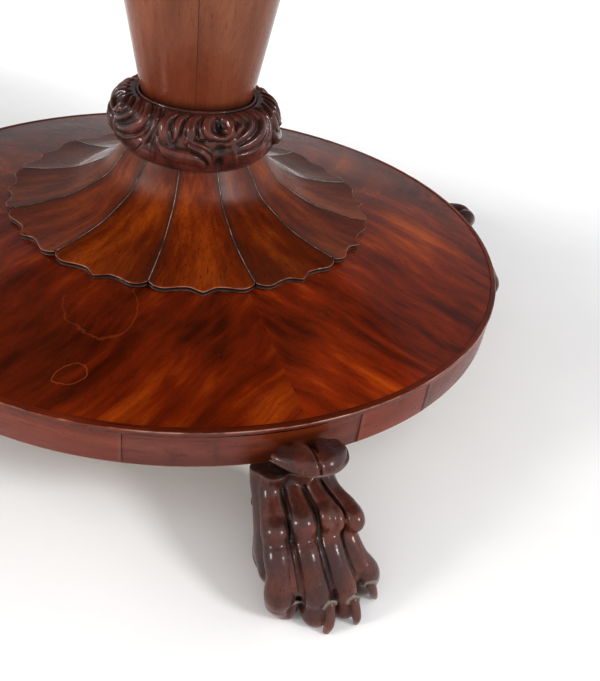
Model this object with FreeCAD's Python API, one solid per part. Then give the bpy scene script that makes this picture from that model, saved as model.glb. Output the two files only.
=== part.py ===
"""Round tilt-top pedestal table: a conical platform on four paw feet, a lobed dome, a carved collar,
a column that widens upwards, and a round top that tilts on two pivot pins. Millimetres, +Z up.
The origin is the floor point under the column. A foot stands on each of -Y, +X, +Y and -X."""

import FreeCAD, Part
import math
import os

V = FreeCAD.Vector
Z_AXIS = V(0, 0, 1)
ORIGIN = V(0, 0, 0)

# Platform: a low cone on an upright rim
PLATFORM_R = 400.0
RIM_BOTTOM_Z = 118.0
RIM_TOP_Z = 160.0
CONE_SLOPE = 32.0 / 180.0
RIM_VENEER = 2.5
TOP_VENEER = 1.5
LIP_HEIGHT = 5.0
LIP_WIDTH = 6.0
RIM_JOINTS_DEG = [-161.0, -114.5, -81.5, -68.0, -21.0, 26.0, 72.0, 117.0, 158.0]
RIM_JOINT_GAP_DEG = 0.04

# Feet
FOOT_ANGLES_DEG = [-90.0, 0.0, 90.0, 180.0]
DOWEL_R = 12.0
DOWEL_CENTRE_R = 368.0
DOWEL_DEPTH = 40.0

# Dome: twelve petals on a turned core, set a little out of line with the feet
PETALS = 12
DOME_TURN_DEG = 2.0
DOME_SEAT_R = 206.0
DOME_TOP_Z = 276.0
PETAL_THICKNESS = 6.0
PETAL_GAP_UNDER = 2.5
STRINGING_WIDTH = 1.2
STRINGING_DEPTH = 4.5
DOME_PROFILE = [(231, 200.1), (205, 202.6), (183, 206), (153, 213), (130, 223.5), (107, 237), (92, 256),
                (84, 267), (78, 276)]
# Half of a petal's edge: degrees from its middle, and radius
PETAL_EDGE = [(0.0, 225.4), (1.3, 222.8), (2.6, 219.6), (4.3, 217.6), (7.2, 219.4), (9.4, 222.7),
              (11.2, 224.4), (13.0, 223.4), (14.2, 221.0), (15.0, 218.4)]

# Collar and column
TENON_R = 45.0
TENON_CLEARANCE = 0.1
COLLAR_R = 105.0
COLLAR_BOTTOM_R = 88.0
COLLAR_TOP_R = 75.0
COLLAR_WIDEST_Z = 304.0
COLLAR_TOP_Z = 333.0
COLUMN_BOTTOM_Z = 331.0
COLUMN_TOP_Z = 610.0
COLUMN_BOTTOM_R = 65.4
COLUMN_FLARE = 0.185
COLUMN_VENEER = 1.2
COLUMN_JOINTS_DEG = [-108.0, 72.0]
BEAD_SECTION = 5.6

# Neck and tilt block
NECK_TOP_Z = 642.0
NECK_R = 136.0
BLOCK_HALF_X = 165.0
BLOCK_TOP_Z = 694.5
PIVOT_Y = 152.0
PIVOT_Z = 672.0
PIVOT_R = 7.0
RUNNING_CLEARANCE = 0.05
BLOCK_NOSE = 13.0
UPPER_TENON_R = 40.0

# Top
TOP_R = 590.0
TOP_UNDERSIDE_Z = 695.0
TOP_CORE_THICKNESS = 30.0
EDGE_WIDTH = 12.0
FRIEZE_OUTER_R = 556.0
FRIEZE_THICKNESS = 16.0
FRIEZE_BOTTOM_Z = 662.0
FRIEZE_BRICKS = 16
BEARER_INNER_X = 166.5
BEARER_WIDTH = 38.0
BEARER_BOTTOM_Z = 649.0
BEARER_HALF_LENGTH = 440.0
SCREW_R = 2.5
SCREW_CLEARANCE = 0.15

# Barrel bolt that locks the top down
BOLT_Z = 683.0
BOLT_R = 5.0
BOLT_TRAVEL = 18.0
BLOCK_FRONT_Y = -165.0
STRIKE_THICKNESS = 2.5
BOLT_TIP_Y = -170.0
CASE_FRONT_Y = -174.0
CASE_LENGTH = 66.0
CASE_WIDTH = 24.0
CASE_PLATE_WIDTH = 40.0
CASE_PLATE = 3.0
KNOB_STEM_R = 2.5
KNOB_R = 7.0

os.makedirs("parts", exist_ok=True)


def cone_z(r):
    """Height of the platform's upper face at radius r."""
    return RIM_TOP_Z + (PLATFORM_R - r) * CONE_SLOPE


def column_r(z):
    return COLUMN_BOTTOM_R + (z - COLUMN_BOTTOM_Z) * COLUMN_FLARE


def at(r, z):
    return V(r, 0, z)


def edge_line(points):
    """Straight edges through (r, z) points in the XZ plane."""
    return [Part.LineSegment(at(*a), at(*b)).toShape() for a, b in zip(points, points[1:])]


def edge_curve(vectors):
    curve = Part.BSplineCurve()
    curve.interpolate(vectors)
    return curve.toShape()


def turned(edges, angle=360.0):
    """Solid of revolution about Z from a closed outline in the XZ plane."""
    face = Part.Face(Part.Wire(Part.__sortEdges__(edges)))
    return face.revolve(ORIGIN, Z_AXIS, angle)


def turned_polygon(points, angle=360.0):
    return turned(edge_line(points + [points[0]]), angle)


def rotated(shape, degrees):
    copy = shape.copy()
    copy.rotate(ORIGIN, Z_AXIS, degrees)
    return copy


def rod(x, y, z, direction, radius, length):
    return Part.makeCylinder(radius, length, V(x, y, z), direction)


def block(x0, x1, y0, y1, z0, z1):
    return Part.makeBox(x1 - x0, y1 - y0, z1 - z0, V(x0, y0, z0))


def export(name, shape, solids=1):
    shape = shape.removeSplitter() if len(shape.Solids) == 1 else shape
    assert shape.isValid(), name
    assert len(shape.Solids) == solids, (name, len(shape.Solids))
    shape.exportStep("parts/%s.step" % name)
    return shape


def group(name, shapes):
    return export(name, Part.makeCompound(shapes), len(shapes))


# ---------------------------------------------------------------- platform

def make_platform():
    rim_inner = PLATFORM_R - RIM_VENEER
    lip_inner = PLATFORM_R - LIP_WIDTH
    lip_bottom = RIM_TOP_Z - LIP_HEIGHT
    seat_z = cone_z(DOME_SEAT_R) - TOP_VENEER
    hole = TENON_R + TENON_CLEARANCE
    core = turned_polygon([
        (hole, RIM_BOTTOM_Z), (rim_inner, RIM_BOTTOM_Z), (rim_inner, lip_bottom), (lip_inner, lip_bottom),
        (lip_inner, cone_z(lip_inner) - TOP_VENEER), (DOME_SEAT_R, seat_z), (hole, seat_z)])
    dowel_top = RIM_BOTTOM_Z + 26.0
    for angle in FOOT_ANGLES_DEG:
        core = core.cut(rotated(rod(DOWEL_CENTRE_R, 0, RIM_BOTTOM_Z - 1, Z_AXIS, DOWEL_R + TENON_CLEARANCE,
                                    dowel_top - RIM_BOTTOM_Z + 2), angle))
    export("platform_core", core)

    quarter = turned_polygon([
        (DOME_SEAT_R, cone_z(DOME_SEAT_R) - TOP_VENEER), (DOME_SEAT_R, cone_z(DOME_SEAT_R)),
        (lip_inner, cone_z(lip_inner)), (lip_inner, cone_z(lip_inner) - TOP_VENEER)], 90.0)
    for number, angle in enumerate(FOOT_ANGLES_DEG, 1):
        export("platform_veneer_%d" % number, rotated(quarter, angle))

    lip = turned_polygon([
        (lip_inner, lip_bottom), (PLATFORM_R + 0.6, lip_bottom), (PLATFORM_R + 0.6, RIM_TOP_Z - 1.4),
        (PLATFORM_R - 1.0, RIM_TOP_Z + 0.3), (lip_inner, cone_z(lip_inner))])
    export("platform_lip", lip)

    pieces = []
    stops = RIM_JOINTS_DEG[1:] + [RIM_JOINTS_DEG[0] + 360.0]
    for start, stop in zip(RIM_JOINTS_DEG, stops):
        section = [(rim_inner, RIM_BOTTOM_Z), (PLATFORM_R, RIM_BOTTOM_Z), (PLATFORM_R, lip_bottom),
                   (rim_inner, lip_bottom)]
        piece = turned_polygon(section, stop - start - RIM_JOINT_GAP_DEG)
        pieces.append(rotated(piece, start + RIM_JOINT_GAP_DEG / 2))
    group("platform_rim_veneer", pieces)


# ---------------------------------------------------------------- feet
# A foot is drawn pointing along +X and turned into place.

# Sections of the leg: height, back and front radius, and its two sideways limits
LEG_SECTIONS = [(0.0, 428.0, 462.0, -44.0, 48.0), (8.0, 428.0, 470.0, -48.0, 52.0),
                (20.0, 418.0, 478.0, -50.0, 54.0), (45.0, 418.0, 466.0, -52.0, 52.0),
                (75.0, 402.0, 446.0, -50.0, 46.0), (92.0, 398.0, 430.0, -48.0, 38.0),
                (104.0, 395.0, 425.0, -48.0, 36.0), (118.0, 392.0, 430.0, -50.0, 38.0)]
LEG_CORNER = 9.0
# Sideways places of the four toes at the knuckle and at the tip, and how far each tip reaches
TOE_KNUCKLE_V = [-36.0, -11.0, 15.0, 41.0]
TOE_TIP_V = [-38.0, -10.0, 20.0, 51.0]
TOE_REACH = [492.0, 515.0, 516.0, 498.0]
TOE_START_R = 412.0
# A toe's sections: share of its reach, height and radius
TOE_SECTIONS = [(0.0, 88.0, 12.0), (0.30, 70.0, 15.0), (0.50, 50.0, 13.0), (0.68, 36.0, 15.0),
                (0.86, 20.0, 12.0), (0.93, 8.0, 7.0)]
POST_BACK_R = 345.0
POST_HALF_WIDTH = 24.0
# The leaf's two lobes: sideways centres, then the half sizes outwards, sideways and upwards
LEAF_LOBE_V = [-23.0, 16.0]
LEAF_LOBE_SIZE = (38.0, 26.0, 24.0)
LEAF_CENTRE_R = 407.0
LEAF_CENTRE_Z = 128.0


def rounded_rectangle(z, u0, u1, v0, v1):
    wire = Part.makePolygon([V(u0, v0, z), V(u1, v0, z), V(u1, v1, z), V(u0, v1, z), V(u0, v0, z)])
    solid = Part.Face(wire).extrude(V(0, 0, 1))
    upright = [e for e in solid.Edges if abs(e.Vertexes[0].Z - e.Vertexes[-1].Z) > 0.5]
    rounded = solid.makeFillet(LEG_CORNER, upright)
    bottom = min(rounded.Faces, key=lambda f: f.CenterOfMass.z)
    return bottom.OuterWire


def make_toe(knuckle_v, tip_v, reach):
    centres = []
    for share, z, radius in TOE_SECTIONS:
        u = TOE_START_R + share * (reach - TOE_START_R)
        v = knuckle_v + (tip_v - knuckle_v) * share
        centres.append((V(u, v, z), radius))
    wires = []
    for index, (centre, radius) in enumerate(centres):
        before = centres[max(index - 1, 0)][0]
        after = centres[min(index + 1, len(centres) - 1)][0]
        wires.append(Part.Wire(Part.Circle(centre, after.sub(before), radius).toShape()))
    return Part.makeLoft(wires, True, False)


def make_paw():
    paw = Part.makeLoft([rounded_rectangle(*section) for section in LEG_SECTIONS], True, True)
    for knuckle_v, tip_v, reach in zip(TOE_KNUCKLE_V, TOE_TIP_V, TOE_REACH):
        paw = paw.fuse(make_toe(knuckle_v, tip_v, reach))
    return paw.common(block(300, 540, -100, 100, 0, RIM_BOTTOM_Z))


def make_leaf():
    leaf = None
    for v in LEAF_LOBE_V:
        stretch = FreeCAD.Matrix()
        stretch.scale(*LEAF_LOBE_SIZE)
        lobe = Part.makeSphere(1.0).transformGeometry(stretch)
        lobe.translate(V(LEAF_CENTRE_R, v, LEAF_CENTRE_Z))
        leaf = lobe if leaf is None else leaf.fuse(lobe)
    leaf = leaf.common(block(PLATFORM_R, 460, -70, 70, RIM_BOTTOM_Z + 0.1, RIM_TOP_Z - LIP_HEIGHT - 1.0))
    return leaf.cut(Part.makeCylinder(PLATFORM_R + 0.3, 100, V(0, 0, 80)))


def make_post():
    """Block behind the paw that carries the platform; its front follows the paw's back."""
    front = [V(u0, -POST_HALF_WIDTH, z) for z, u0, u1, v0, v1 in LEG_SECTIONS]
    back = [V(POST_BACK_R, -POST_HALF_WIDTH, RIM_BOTTOM_Z), V(POST_BACK_R, -POST_HALF_WIDTH, 0)]
    post = Part.Face(Part.makePolygon(front + back + front[:1])).extrude(V(0, 2 * POST_HALF_WIDTH, 0))
    hole_start = RIM_BOTTOM_Z - DOWEL_DEPTH - 1
    return post.cut(rod(DOWEL_CENTRE_R, 0, hole_start, Z_AXIS, DOWEL_R + TENON_CLEARANCE, 60))


def make_feet():
    paw = make_paw()
    leaf = make_leaf()
    post = make_post()
    dowel = rod(DOWEL_CENTRE_R, 0, RIM_BOTTOM_Z - DOWEL_DEPTH, Z_AXIS, DOWEL_R, DOWEL_DEPTH + 25)
    for number, angle in enumerate(FOOT_ANGLES_DEG, 1):
        export("paw_foot_%d" % number, rotated(paw, angle))
        export("foot_leaf_%d" % number, rotated(leaf, angle))
        export("foot_block_%d" % number, rotated(post, angle))
    group("foot_dowels", [rotated(dowel, angle) for angle in FOOT_ANGLES_DEG])


# ---------------------------------------------------------------- dome

def dome_section(depth, seat_r):
    """Closed section of the petals' shell, with its underside this deep below the curved upper face."""
    upper = Part.BSplineCurve()
    upper.interpolate([at(*p) for p in DOME_PROFILE])
    seat = at(seat_r, cone_z(seat_r) + PETAL_GAP_UNDER)
    lower = [seat]
    steps = 12
    for step in range(steps + 1):
        parameter = upper.FirstParameter + (upper.LastParameter - upper.FirstParameter) * step / steps
        tangent = upper.tangent(parameter)[0]
        inward = V(tangent.z, 0, -tangent.x)
        if inward.z > 0:
            inward = inward.negative()
        point = upper.value(parameter).add(inward.normalize().multiply(depth))
        if point.x < seat_r - 4.0 and point.z < DOME_TOP_Z - 6.0:
            lower.append(point)
    top_r = DOME_PROFILE[-1][0]
    lower.append(at(top_r - depth, DOME_TOP_Z))
    under = edge_curve(lower)
    edge_r, edge_z = DOME_PROFILE[0]
    rest = edge_line([(edge_r, edge_z), (edge_r, cone_z(edge_r) + PETAL_GAP_UNDER), (seat.x, seat.z)])
    rest += edge_line([(top_r, DOME_TOP_Z), (top_r - depth, DOME_TOP_Z)])
    return under, [upper.toShape(), under] + rest


def make_dome():
    under, section = dome_section(PETAL_THICKNESS, DOME_SEAT_R)
    seat_z = cone_z(DOME_SEAT_R) - TOP_VENEER
    hole = TENON_R + TENON_CLEARANCE
    core = turned([under] + edge_line([
        (DOME_SEAT_R, cone_z(DOME_SEAT_R) + PETAL_GAP_UNDER), (DOME_SEAT_R, seat_z), (hole, seat_z),
        (hole, DOME_TOP_Z), (DOME_PROFILE[-1][0] - PETAL_THICKNESS, DOME_TOP_Z)]))
    export("dome_core", core)

    step_angle = 360.0 / PETALS
    wedge = rotated(turned(section, step_angle), -step_angle / 2)

    def on_edge(degrees, radius):
        return V(radius * math.cos(math.radians(degrees)), radius * math.sin(math.radians(degrees)), 0)

    left = [on_edge(-a, r) for a, r in reversed(PETAL_EDGE)]
    right = [on_edge(a, r) for a, r in PETAL_EDGE]
    outline = [Part.LineSegment(V(20, 0, 0), left[0]).toShape(), edge_curve(left), edge_curve(right),
               Part.LineSegment(right[-1], V(20, 0, 0)).toShape()]
    prism = Part.Face(Part.Wire(outline)).extrude(V(0, 0, 400))
    petal = wedge.common(prism)
    half = STRINGING_WIDTH / 2
    for side in (-1, 1):
        slot = block(0, 300, -half, half, 150, 320)
        petal = petal.cut(rotated(slot, side * step_angle / 2))

    first = FOOT_ANGLES_DEG[0] + DOME_TURN_DEG
    for number in range(PETALS):
        export("dome_petal_%02d" % (number + 1), rotated(petal, first + (number + 0.5) * step_angle))

    seam_r = PETAL_EDGE[-1][1]
    strip_section = dome_section(STRINGING_DEPTH, DOME_SEAT_R + 2.0)[1]
    strip_face = Part.Face(Part.Wire(Part.__sortEdges__(strip_section)))
    strip = strip_face.extrude(V(0, STRINGING_WIDTH - 0.02, 0))
    strip.translate(V(0, -half + 0.01, 0))
    strip = strip.common(block(0, seam_r, -5, 5, 150, 320))
    group("dome_stringing", [rotated(strip, first + number * step_angle) for number in range(PETALS)])


# ---------------------------------------------------------------- collar and column

def make_collar():
    hole = TENON_R + TENON_CLEARANCE
    bulge = Part.Arc(at(COLLAR_BOTTOM_R, DOME_TOP_Z), at(COLLAR_R, COLLAR_WIDEST_Z),
                     at(COLLAR_TOP_R, COLLAR_TOP_Z)).toShape()
    collar = turned([bulge] + edge_line([
        (COLLAR_TOP_R, COLLAR_TOP_Z), (COLLAR_TOP_R, COLUMN_BOTTOM_Z), (hole, COLUMN_BOTTOM_Z),
        (hole, DOME_TOP_Z), (COLLAR_BOTTOM_R, DOME_TOP_Z)]))
    export("acanthus_collar", collar)

    inner = column_r(COLUMN_BOTTOM_Z + BEAD_SECTION) + 0.2
    outer = inner + BEAD_SECTION
    half_way = COLUMN_BOTTOM_Z + BEAD_SECTION / 2
    crown = Part.Arc(at(outer, half_way), at((inner + outer) / 2, COLUMN_BOTTOM_Z + BEAD_SECTION),
                     at(inner, half_way)).toShape()
    sides = edge_line([(inner, half_way), (inner, COLUMN_BOTTOM_Z), (outer, COLUMN_BOTTOM_Z), (outer, half_way)])
    bead = turned([crown] + sides)
    export("collar_bead", bead)


def make_column():
    skin = COLUMN_VENEER
    block_tenon_top = BLOCK_TOP_Z - 2.5
    core = turned_polygon([
        (0, RIM_BOTTOM_Z), (TENON_R, RIM_BOTTOM_Z), (TENON_R, COLUMN_BOTTOM_Z),
        (column_r(COLUMN_BOTTOM_Z) - skin, COLUMN_BOTTOM_Z), (column_r(COLUMN_TOP_Z) - skin, COLUMN_TOP_Z),
        (UPPER_TENON_R, COLUMN_TOP_Z), (UPPER_TENON_R, block_tenon_top), (0, block_tenon_top)])
    wedge_slot = block(-3, 3, -TENON_R - 1, TENON_R + 1, RIM_BOTTOM_Z - 1, RIM_BOTTOM_Z + 40)
    upper_slot = block(-3, 3, -UPPER_TENON_R - 1, UPPER_TENON_R + 1,
                       block_tenon_top - 30, block_tenon_top + 1)
    core = core.cut(wedge_slot).cut(upper_slot)
    export("column_core", core)

    lower_wedge = block(-2.9, 2.9, -38, 38, RIM_BOTTOM_Z + 0.5, RIM_BOTTOM_Z + 39.5)
    upper_wedge = block(-2.9, 2.9, -34, 34, block_tenon_top - 29.5, block_tenon_top)
    group("tenon_wedges", [lower_wedge, upper_wedge])

    half_shell = turned_polygon([
        (column_r(COLUMN_BOTTOM_Z) - skin, COLUMN_BOTTOM_Z), (column_r(COLUMN_BOTTOM_Z), COLUMN_BOTTOM_Z),
        (column_r(COLUMN_TOP_Z), COLUMN_TOP_Z), (column_r(COLUMN_TOP_Z) - skin, COLUMN_TOP_Z)], 180.0)
    for number, angle in enumerate(COLUMN_JOINTS_DEG, 1):
        export("column_veneer_%d" % number, rotated(half_shell, angle))


def make_neck():
    hole = UPPER_TENON_R + TENON_CLEARANCE
    shoulder = column_r(COLUMN_TOP_Z)
    bead_top = COLUMN_TOP_Z + 12.0
    bead = Part.Arc(at(shoulder, COLUMN_TOP_Z), at(shoulder + 8.0, COLUMN_TOP_Z + 6.0),
                    at(shoulder, bead_top)).toShape()
    cove = Part.Arc(at(shoulder, bead_top), at(shoulder + 5.0, bead_top + 9.0),
                    at(NECK_R, NECK_TOP_Z - 6.0)).toShape()
    neck = turned([bead, cove] + edge_line([
        (NECK_R, NECK_TOP_Z - 6.0), (NECK_R, NECK_TOP_Z), (hole, NECK_TOP_Z), (hole, COLUMN_TOP_Z),
        (shoulder, COLUMN_TOP_Z)]))
    export("column_neck", neck)


# ---------------------------------------------------------------- tilt block and pins

PIN_HEAD_R = 11.0
PIN_HEAD = 4.5
PIN_DEPTH = 60.0


def make_tilt_block():
    back_y = PIVOT_Y + BLOCK_NOSE
    body = block(-BLOCK_HALF_X, BLOCK_HALF_X, BLOCK_FRONT_Y, back_y, NECK_TOP_Z, BLOCK_TOP_Z)
    back_top = [e for e in body.Edges
                if all(abs(p.Point.y - back_y) < 0.01 and abs(p.Point.z - BLOCK_TOP_Z) < 0.01
                       for p in e.Vertexes)]
    body = body.makeFillet(BLOCK_NOSE, back_top)
    body = body.cut(rod(0, 0, NECK_TOP_Z - 1, Z_AXIS, UPPER_TENON_R + TENON_CLEARANCE, 80))
    for side in (-1, 1):
        inner = side * (BLOCK_HALF_X - PIN_DEPTH)
        body = body.cut(rod(inner, PIVOT_Y, PIVOT_Z, V(side, 0, 0), PIVOT_R + 0.02, PIN_DEPTH + 5))
    hole_depth = BOLT_TRAVEL + 3.0
    body = body.cut(rod(0, BLOCK_FRONT_Y - 1, BOLT_Z, V(0, 1, 0), BOLT_R + 1.0, hole_depth))
    for screw in strike_screws():
        body = body.cut(screw)
    export("tilt_block", body)

    pins = []
    outer_x = BEARER_INNER_X + BEARER_WIDTH + 1.0
    for side in (-1, 1):
        inner = side * (BLOCK_HALF_X - PIN_DEPTH + 0.5)
        shaft = rod(inner, PIVOT_Y, PIVOT_Z, V(side, 0, 0), PIVOT_R, outer_x - abs(inner) + 1.0)
        head = rod(side * outer_x, PIVOT_Y, PIVOT_Z, V(side, 0, 0), PIN_HEAD_R, PIN_HEAD)
        pins.append(shaft.fuse(head).removeSplitter())
    group("pivot_pins", pins)


STRIKE_HALF = 21.0
STRIKE_SCREW_X = 15.0
STRIKE_SCREW_R = 1.6


def strike_screws(radius=STRIKE_SCREW_R + 0.1, extra=0.5):
    front = BLOCK_FRONT_Y - STRIKE_THICKNESS - extra
    return [rod(side * STRIKE_SCREW_X, front, BOLT_Z, V(0, 1, 0), radius, 16.0 + extra) for side in (-1, 1)]


def make_strike():
    front = BLOCK_FRONT_Y - STRIKE_THICKNESS
    plate = block(-STRIKE_HALF, STRIKE_HALF, front, BLOCK_FRONT_Y, BOLT_Z - 10.0, BOLT_Z + 10.0)
    plate = plate.cut(rod(0, front - 1, BOLT_Z, V(0, 1, 0), BOLT_R + 0.6, 10))
    for screw in strike_screws():
        plate = plate.cut(screw)
    export("bolt_strike", plate)
    group("strike_screws", strike_screws(STRIKE_SCREW_R, 0.0))


# ---------------------------------------------------------------- top

BEARER_SCREW_Y = [-400.0, -140.0, 60.0, 400.0]
SCREW_HEAD_R = 5.0
SCREW_HEAD = 3.0
SCREW_TOP_Z = 713.0


def bearer_screw(x, y, clearance=0.0):
    bottom = BEARER_BOTTOM_Z + 8.0
    start = BEARER_BOTTOM_Z - 1.0 if clearance else bottom
    head = rod(x, y, start, Z_AXIS, SCREW_HEAD_R + clearance, bottom + SCREW_HEAD - start + clearance)
    shaft = rod(x, y, bottom, Z_AXIS, SCREW_R + clearance, SCREW_TOP_Z - bottom + clearance)
    return head.fuse(shaft).removeSplitter()


def bearer_screw_places():
    middle = BEARER_INNER_X + BEARER_WIDTH / 2
    return [(side * middle, y) for side in (-1, 1) for y in BEARER_SCREW_Y]


CASE_SCREW_X = 16.0
CASE_SCREW_R = 1.6


def case_screws(clearance=0.0):
    screws = []
    for x in (-CASE_SCREW_X, CASE_SCREW_X):
        for y in (CASE_FRONT_Y - 8.0, CASE_FRONT_Y - CASE_LENGTH + 8.0):
            start = TOP_UNDERSIDE_Z - CASE_PLATE - clearance * 5
            length = CASE_PLATE + 12.0 + clearance * 10
            screws.append(rod(x, y, start, Z_AXIS, CASE_SCREW_R + clearance, length))
    return screws


def make_top():
    core_r = TOP_R - EDGE_WIDTH
    core_top = TOP_UNDERSIDE_Z + TOP_CORE_THICKNESS
    core = Part.makeCylinder(core_r, TOP_CORE_THICKNESS, V(0, 0, TOP_UNDERSIDE_Z))
    for x, y in bearer_screw_places():
        core = core.cut(bearer_screw(x, y, SCREW_CLEARANCE))
    for screw in case_screws(SCREW_CLEARANCE):
        core = core.cut(screw)
    export("top_core", core)

    quarter = turned_polygon([(0, core_top), (core_r, core_top), (core_r, core_top + TOP_VENEER),
                              (0, core_top + TOP_VENEER)], 90.0)
    for number, angle in enumerate(FOOT_ANGLES_DEG, 1):
        export("top_veneer_%d" % number, rotated(quarter, angle))

    edge_bottom = TOP_UNDERSIDE_Z + 2.0
    edge_top = core_top + TOP_VENEER
    upper = Part.Arc(at(TOP_R - 7.0, edge_top), at(TOP_R - 2.0, edge_top - 2.0),
                     at(TOP_R, edge_top - 7.0)).toShape()
    lower = Part.Arc(at(TOP_R, edge_bottom + 12.0), at(TOP_R - 2.5, edge_bottom + 6.0),
                     at(TOP_R - 8.0, edge_bottom)).toShape()
    moulding = turned([upper, lower] + edge_line([(TOP_R, edge_top - 7.0), (TOP_R, edge_bottom + 12.0)])
                      + edge_line([(TOP_R - 8.0, edge_bottom), (core_r, edge_bottom), (core_r, edge_top),
                                   (TOP_R - 7.0, edge_top)]))
    export("top_edge_moulding", moulding)

    inner = FRIEZE_OUTER_R - FRIEZE_THICKNESS
    brick_angle = 360.0 / FRIEZE_BRICKS
    brick = turned_polygon([(inner, FRIEZE_BOTTOM_Z), (FRIEZE_OUTER_R, FRIEZE_BOTTOM_Z),
                            (FRIEZE_OUTER_R, TOP_UNDERSIDE_Z), (inner, TOP_UNDERSIDE_Z)],
                           brick_angle - RIM_JOINT_GAP_DEG)
    group("top_frieze", [rotated(brick, number * brick_angle) for number in range(FRIEZE_BRICKS)])
    bead_r = 3.5
    bead_top_z = FRIEZE_BOTTOM_Z + 2 * bead_r
    swell = Part.Arc(at(FRIEZE_OUTER_R, FRIEZE_BOTTOM_Z), at(FRIEZE_OUTER_R + bead_r, FRIEZE_BOTTOM_Z + bead_r),
                     at(FRIEZE_OUTER_R, bead_top_z)).toShape()
    bead = turned([swell] + edge_line([(FRIEZE_OUTER_R, bead_top_z), (FRIEZE_OUTER_R, FRIEZE_BOTTOM_Z)]))
    export("frieze_bead", bead)


def make_bearers():
    for side, name in ((-1, "bearer_left"), (1, "bearer_right")):
        inner = side * BEARER_INNER_X
        outer = side * (BEARER_INNER_X + BEARER_WIDTH)
        bearer = block(min(inner, outer), max(inner, outer), -BEARER_HALF_LENGTH, BEARER_HALF_LENGTH,
                       BEARER_BOTTOM_Z, TOP_UNDERSIDE_Z)
        ends = [e for e in bearer.Edges
                if all(abs(p.Point.z - BEARER_BOTTOM_Z) < 0.01 for p in e.Vertexes)
                and abs(e.Vertexes[0].Point.y - e.Vertexes[1].Point.y) < 0.01]
        bearer = bearer.makeChamfer(24.0, ends)
        bearer = bearer.cut(rod(inner - side * 5, PIVOT_Y, PIVOT_Z, V(side, 0, 0),
                                PIVOT_R + RUNNING_CLEARANCE, BEARER_WIDTH + 10))
        for x, y in bearer_screw_places():
            if x * side > 0:
                bearer = bearer.cut(bearer_screw(x, y, SCREW_CLEARANCE))
        export(name, bearer)
    group("bearer_screws", [bearer_screw(x, y) for x, y in bearer_screw_places()])


def make_bolt():
    back_y = CASE_FRONT_Y - CASE_LENGTH
    plate = block(-CASE_PLATE_WIDTH / 2, CASE_PLATE_WIDTH / 2, back_y, CASE_FRONT_Y,
                  TOP_UNDERSIDE_Z - CASE_PLATE, TOP_UNDERSIDE_Z)
    house = block(-CASE_WIDTH / 2, CASE_WIDTH / 2, back_y, CASE_FRONT_Y,
                  BOLT_Z - 9.0, TOP_UNDERSIDE_Z - CASE_PLATE)
    bottom = [e for e in house.Edges
              if all(abs(p.Point.z - (BOLT_Z - 9.0)) < 0.01 for p in e.Vertexes)
              and abs(e.Vertexes[0].Point.x - e.Vertexes[1].Point.x) < 0.01]
    case = plate.fuse(house.makeFillet(6.0, bottom)).removeSplitter()
    case = case.cut(rod(0, back_y - 1, BOLT_Z, V(0, 1, 0), BOLT_R + RUNNING_CLEARANCE, CASE_LENGTH + 2))
    knob_y = CASE_FRONT_Y - 40.0
    slot = KNOB_STEM_R + 0.1
    case = case.cut(block(-slot, slot, knob_y - slot, knob_y + BOLT_TRAVEL + slot, BOLT_Z - 20, BOLT_Z))
    for screw in case_screws(SCREW_CLEARANCE):
        case = case.cut(screw)
    export("bolt_case", case)
    group("bolt_screws", case_screws())

    bolt = rod(0, back_y + 4.0, BOLT_Z, V(0, 1, 0), BOLT_R, BOLT_TIP_Y - back_y - 4.0)
    stem_hole = rod(0, knob_y, BOLT_Z - 10, Z_AXIS, KNOB_STEM_R, 12.0)
    export("slide_bolt", bolt.cut(stem_hole))
    knob_z = BOLT_Z - 19.0
    stem = rod(0, knob_y, knob_z, Z_AXIS, KNOB_STEM_R, 21.0)
    knob = stem.fuse(Part.makeSphere(KNOB_R, V(0, knob_y, knob_z))).removeSplitter()
    export("bolt_knob", knob)


make_platform()
make_feet()
make_dome()
make_collar()
make_column()
make_neck()
make_tilt_block()
make_strike()
make_top()
make_bearers()
make_bolt()
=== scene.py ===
"""Looks for the round pedestal table: carved paws, leaves and collar, dished petals, veneers and polish."""

import copy
import math

import bpy
import numpy as np
from mathutils import Matrix, Vector


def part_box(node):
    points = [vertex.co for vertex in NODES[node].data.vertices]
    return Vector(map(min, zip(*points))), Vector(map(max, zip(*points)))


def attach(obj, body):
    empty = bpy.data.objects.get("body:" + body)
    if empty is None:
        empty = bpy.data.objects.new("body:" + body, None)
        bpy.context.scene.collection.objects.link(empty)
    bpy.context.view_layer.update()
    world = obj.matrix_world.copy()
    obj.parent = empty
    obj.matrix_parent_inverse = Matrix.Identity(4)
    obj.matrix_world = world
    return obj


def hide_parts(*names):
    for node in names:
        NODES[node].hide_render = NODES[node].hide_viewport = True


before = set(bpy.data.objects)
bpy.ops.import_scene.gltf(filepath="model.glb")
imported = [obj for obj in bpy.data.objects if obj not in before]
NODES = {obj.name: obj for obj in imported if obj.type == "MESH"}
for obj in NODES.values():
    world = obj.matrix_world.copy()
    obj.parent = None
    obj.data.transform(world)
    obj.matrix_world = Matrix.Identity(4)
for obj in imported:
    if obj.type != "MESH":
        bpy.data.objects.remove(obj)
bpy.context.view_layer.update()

MM = 0.001
FEET = {1: -90.0, 2: 0.0, 3: 90.0, 4: 180.0}


# ---------------------------------------------------------------- material graphs

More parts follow.
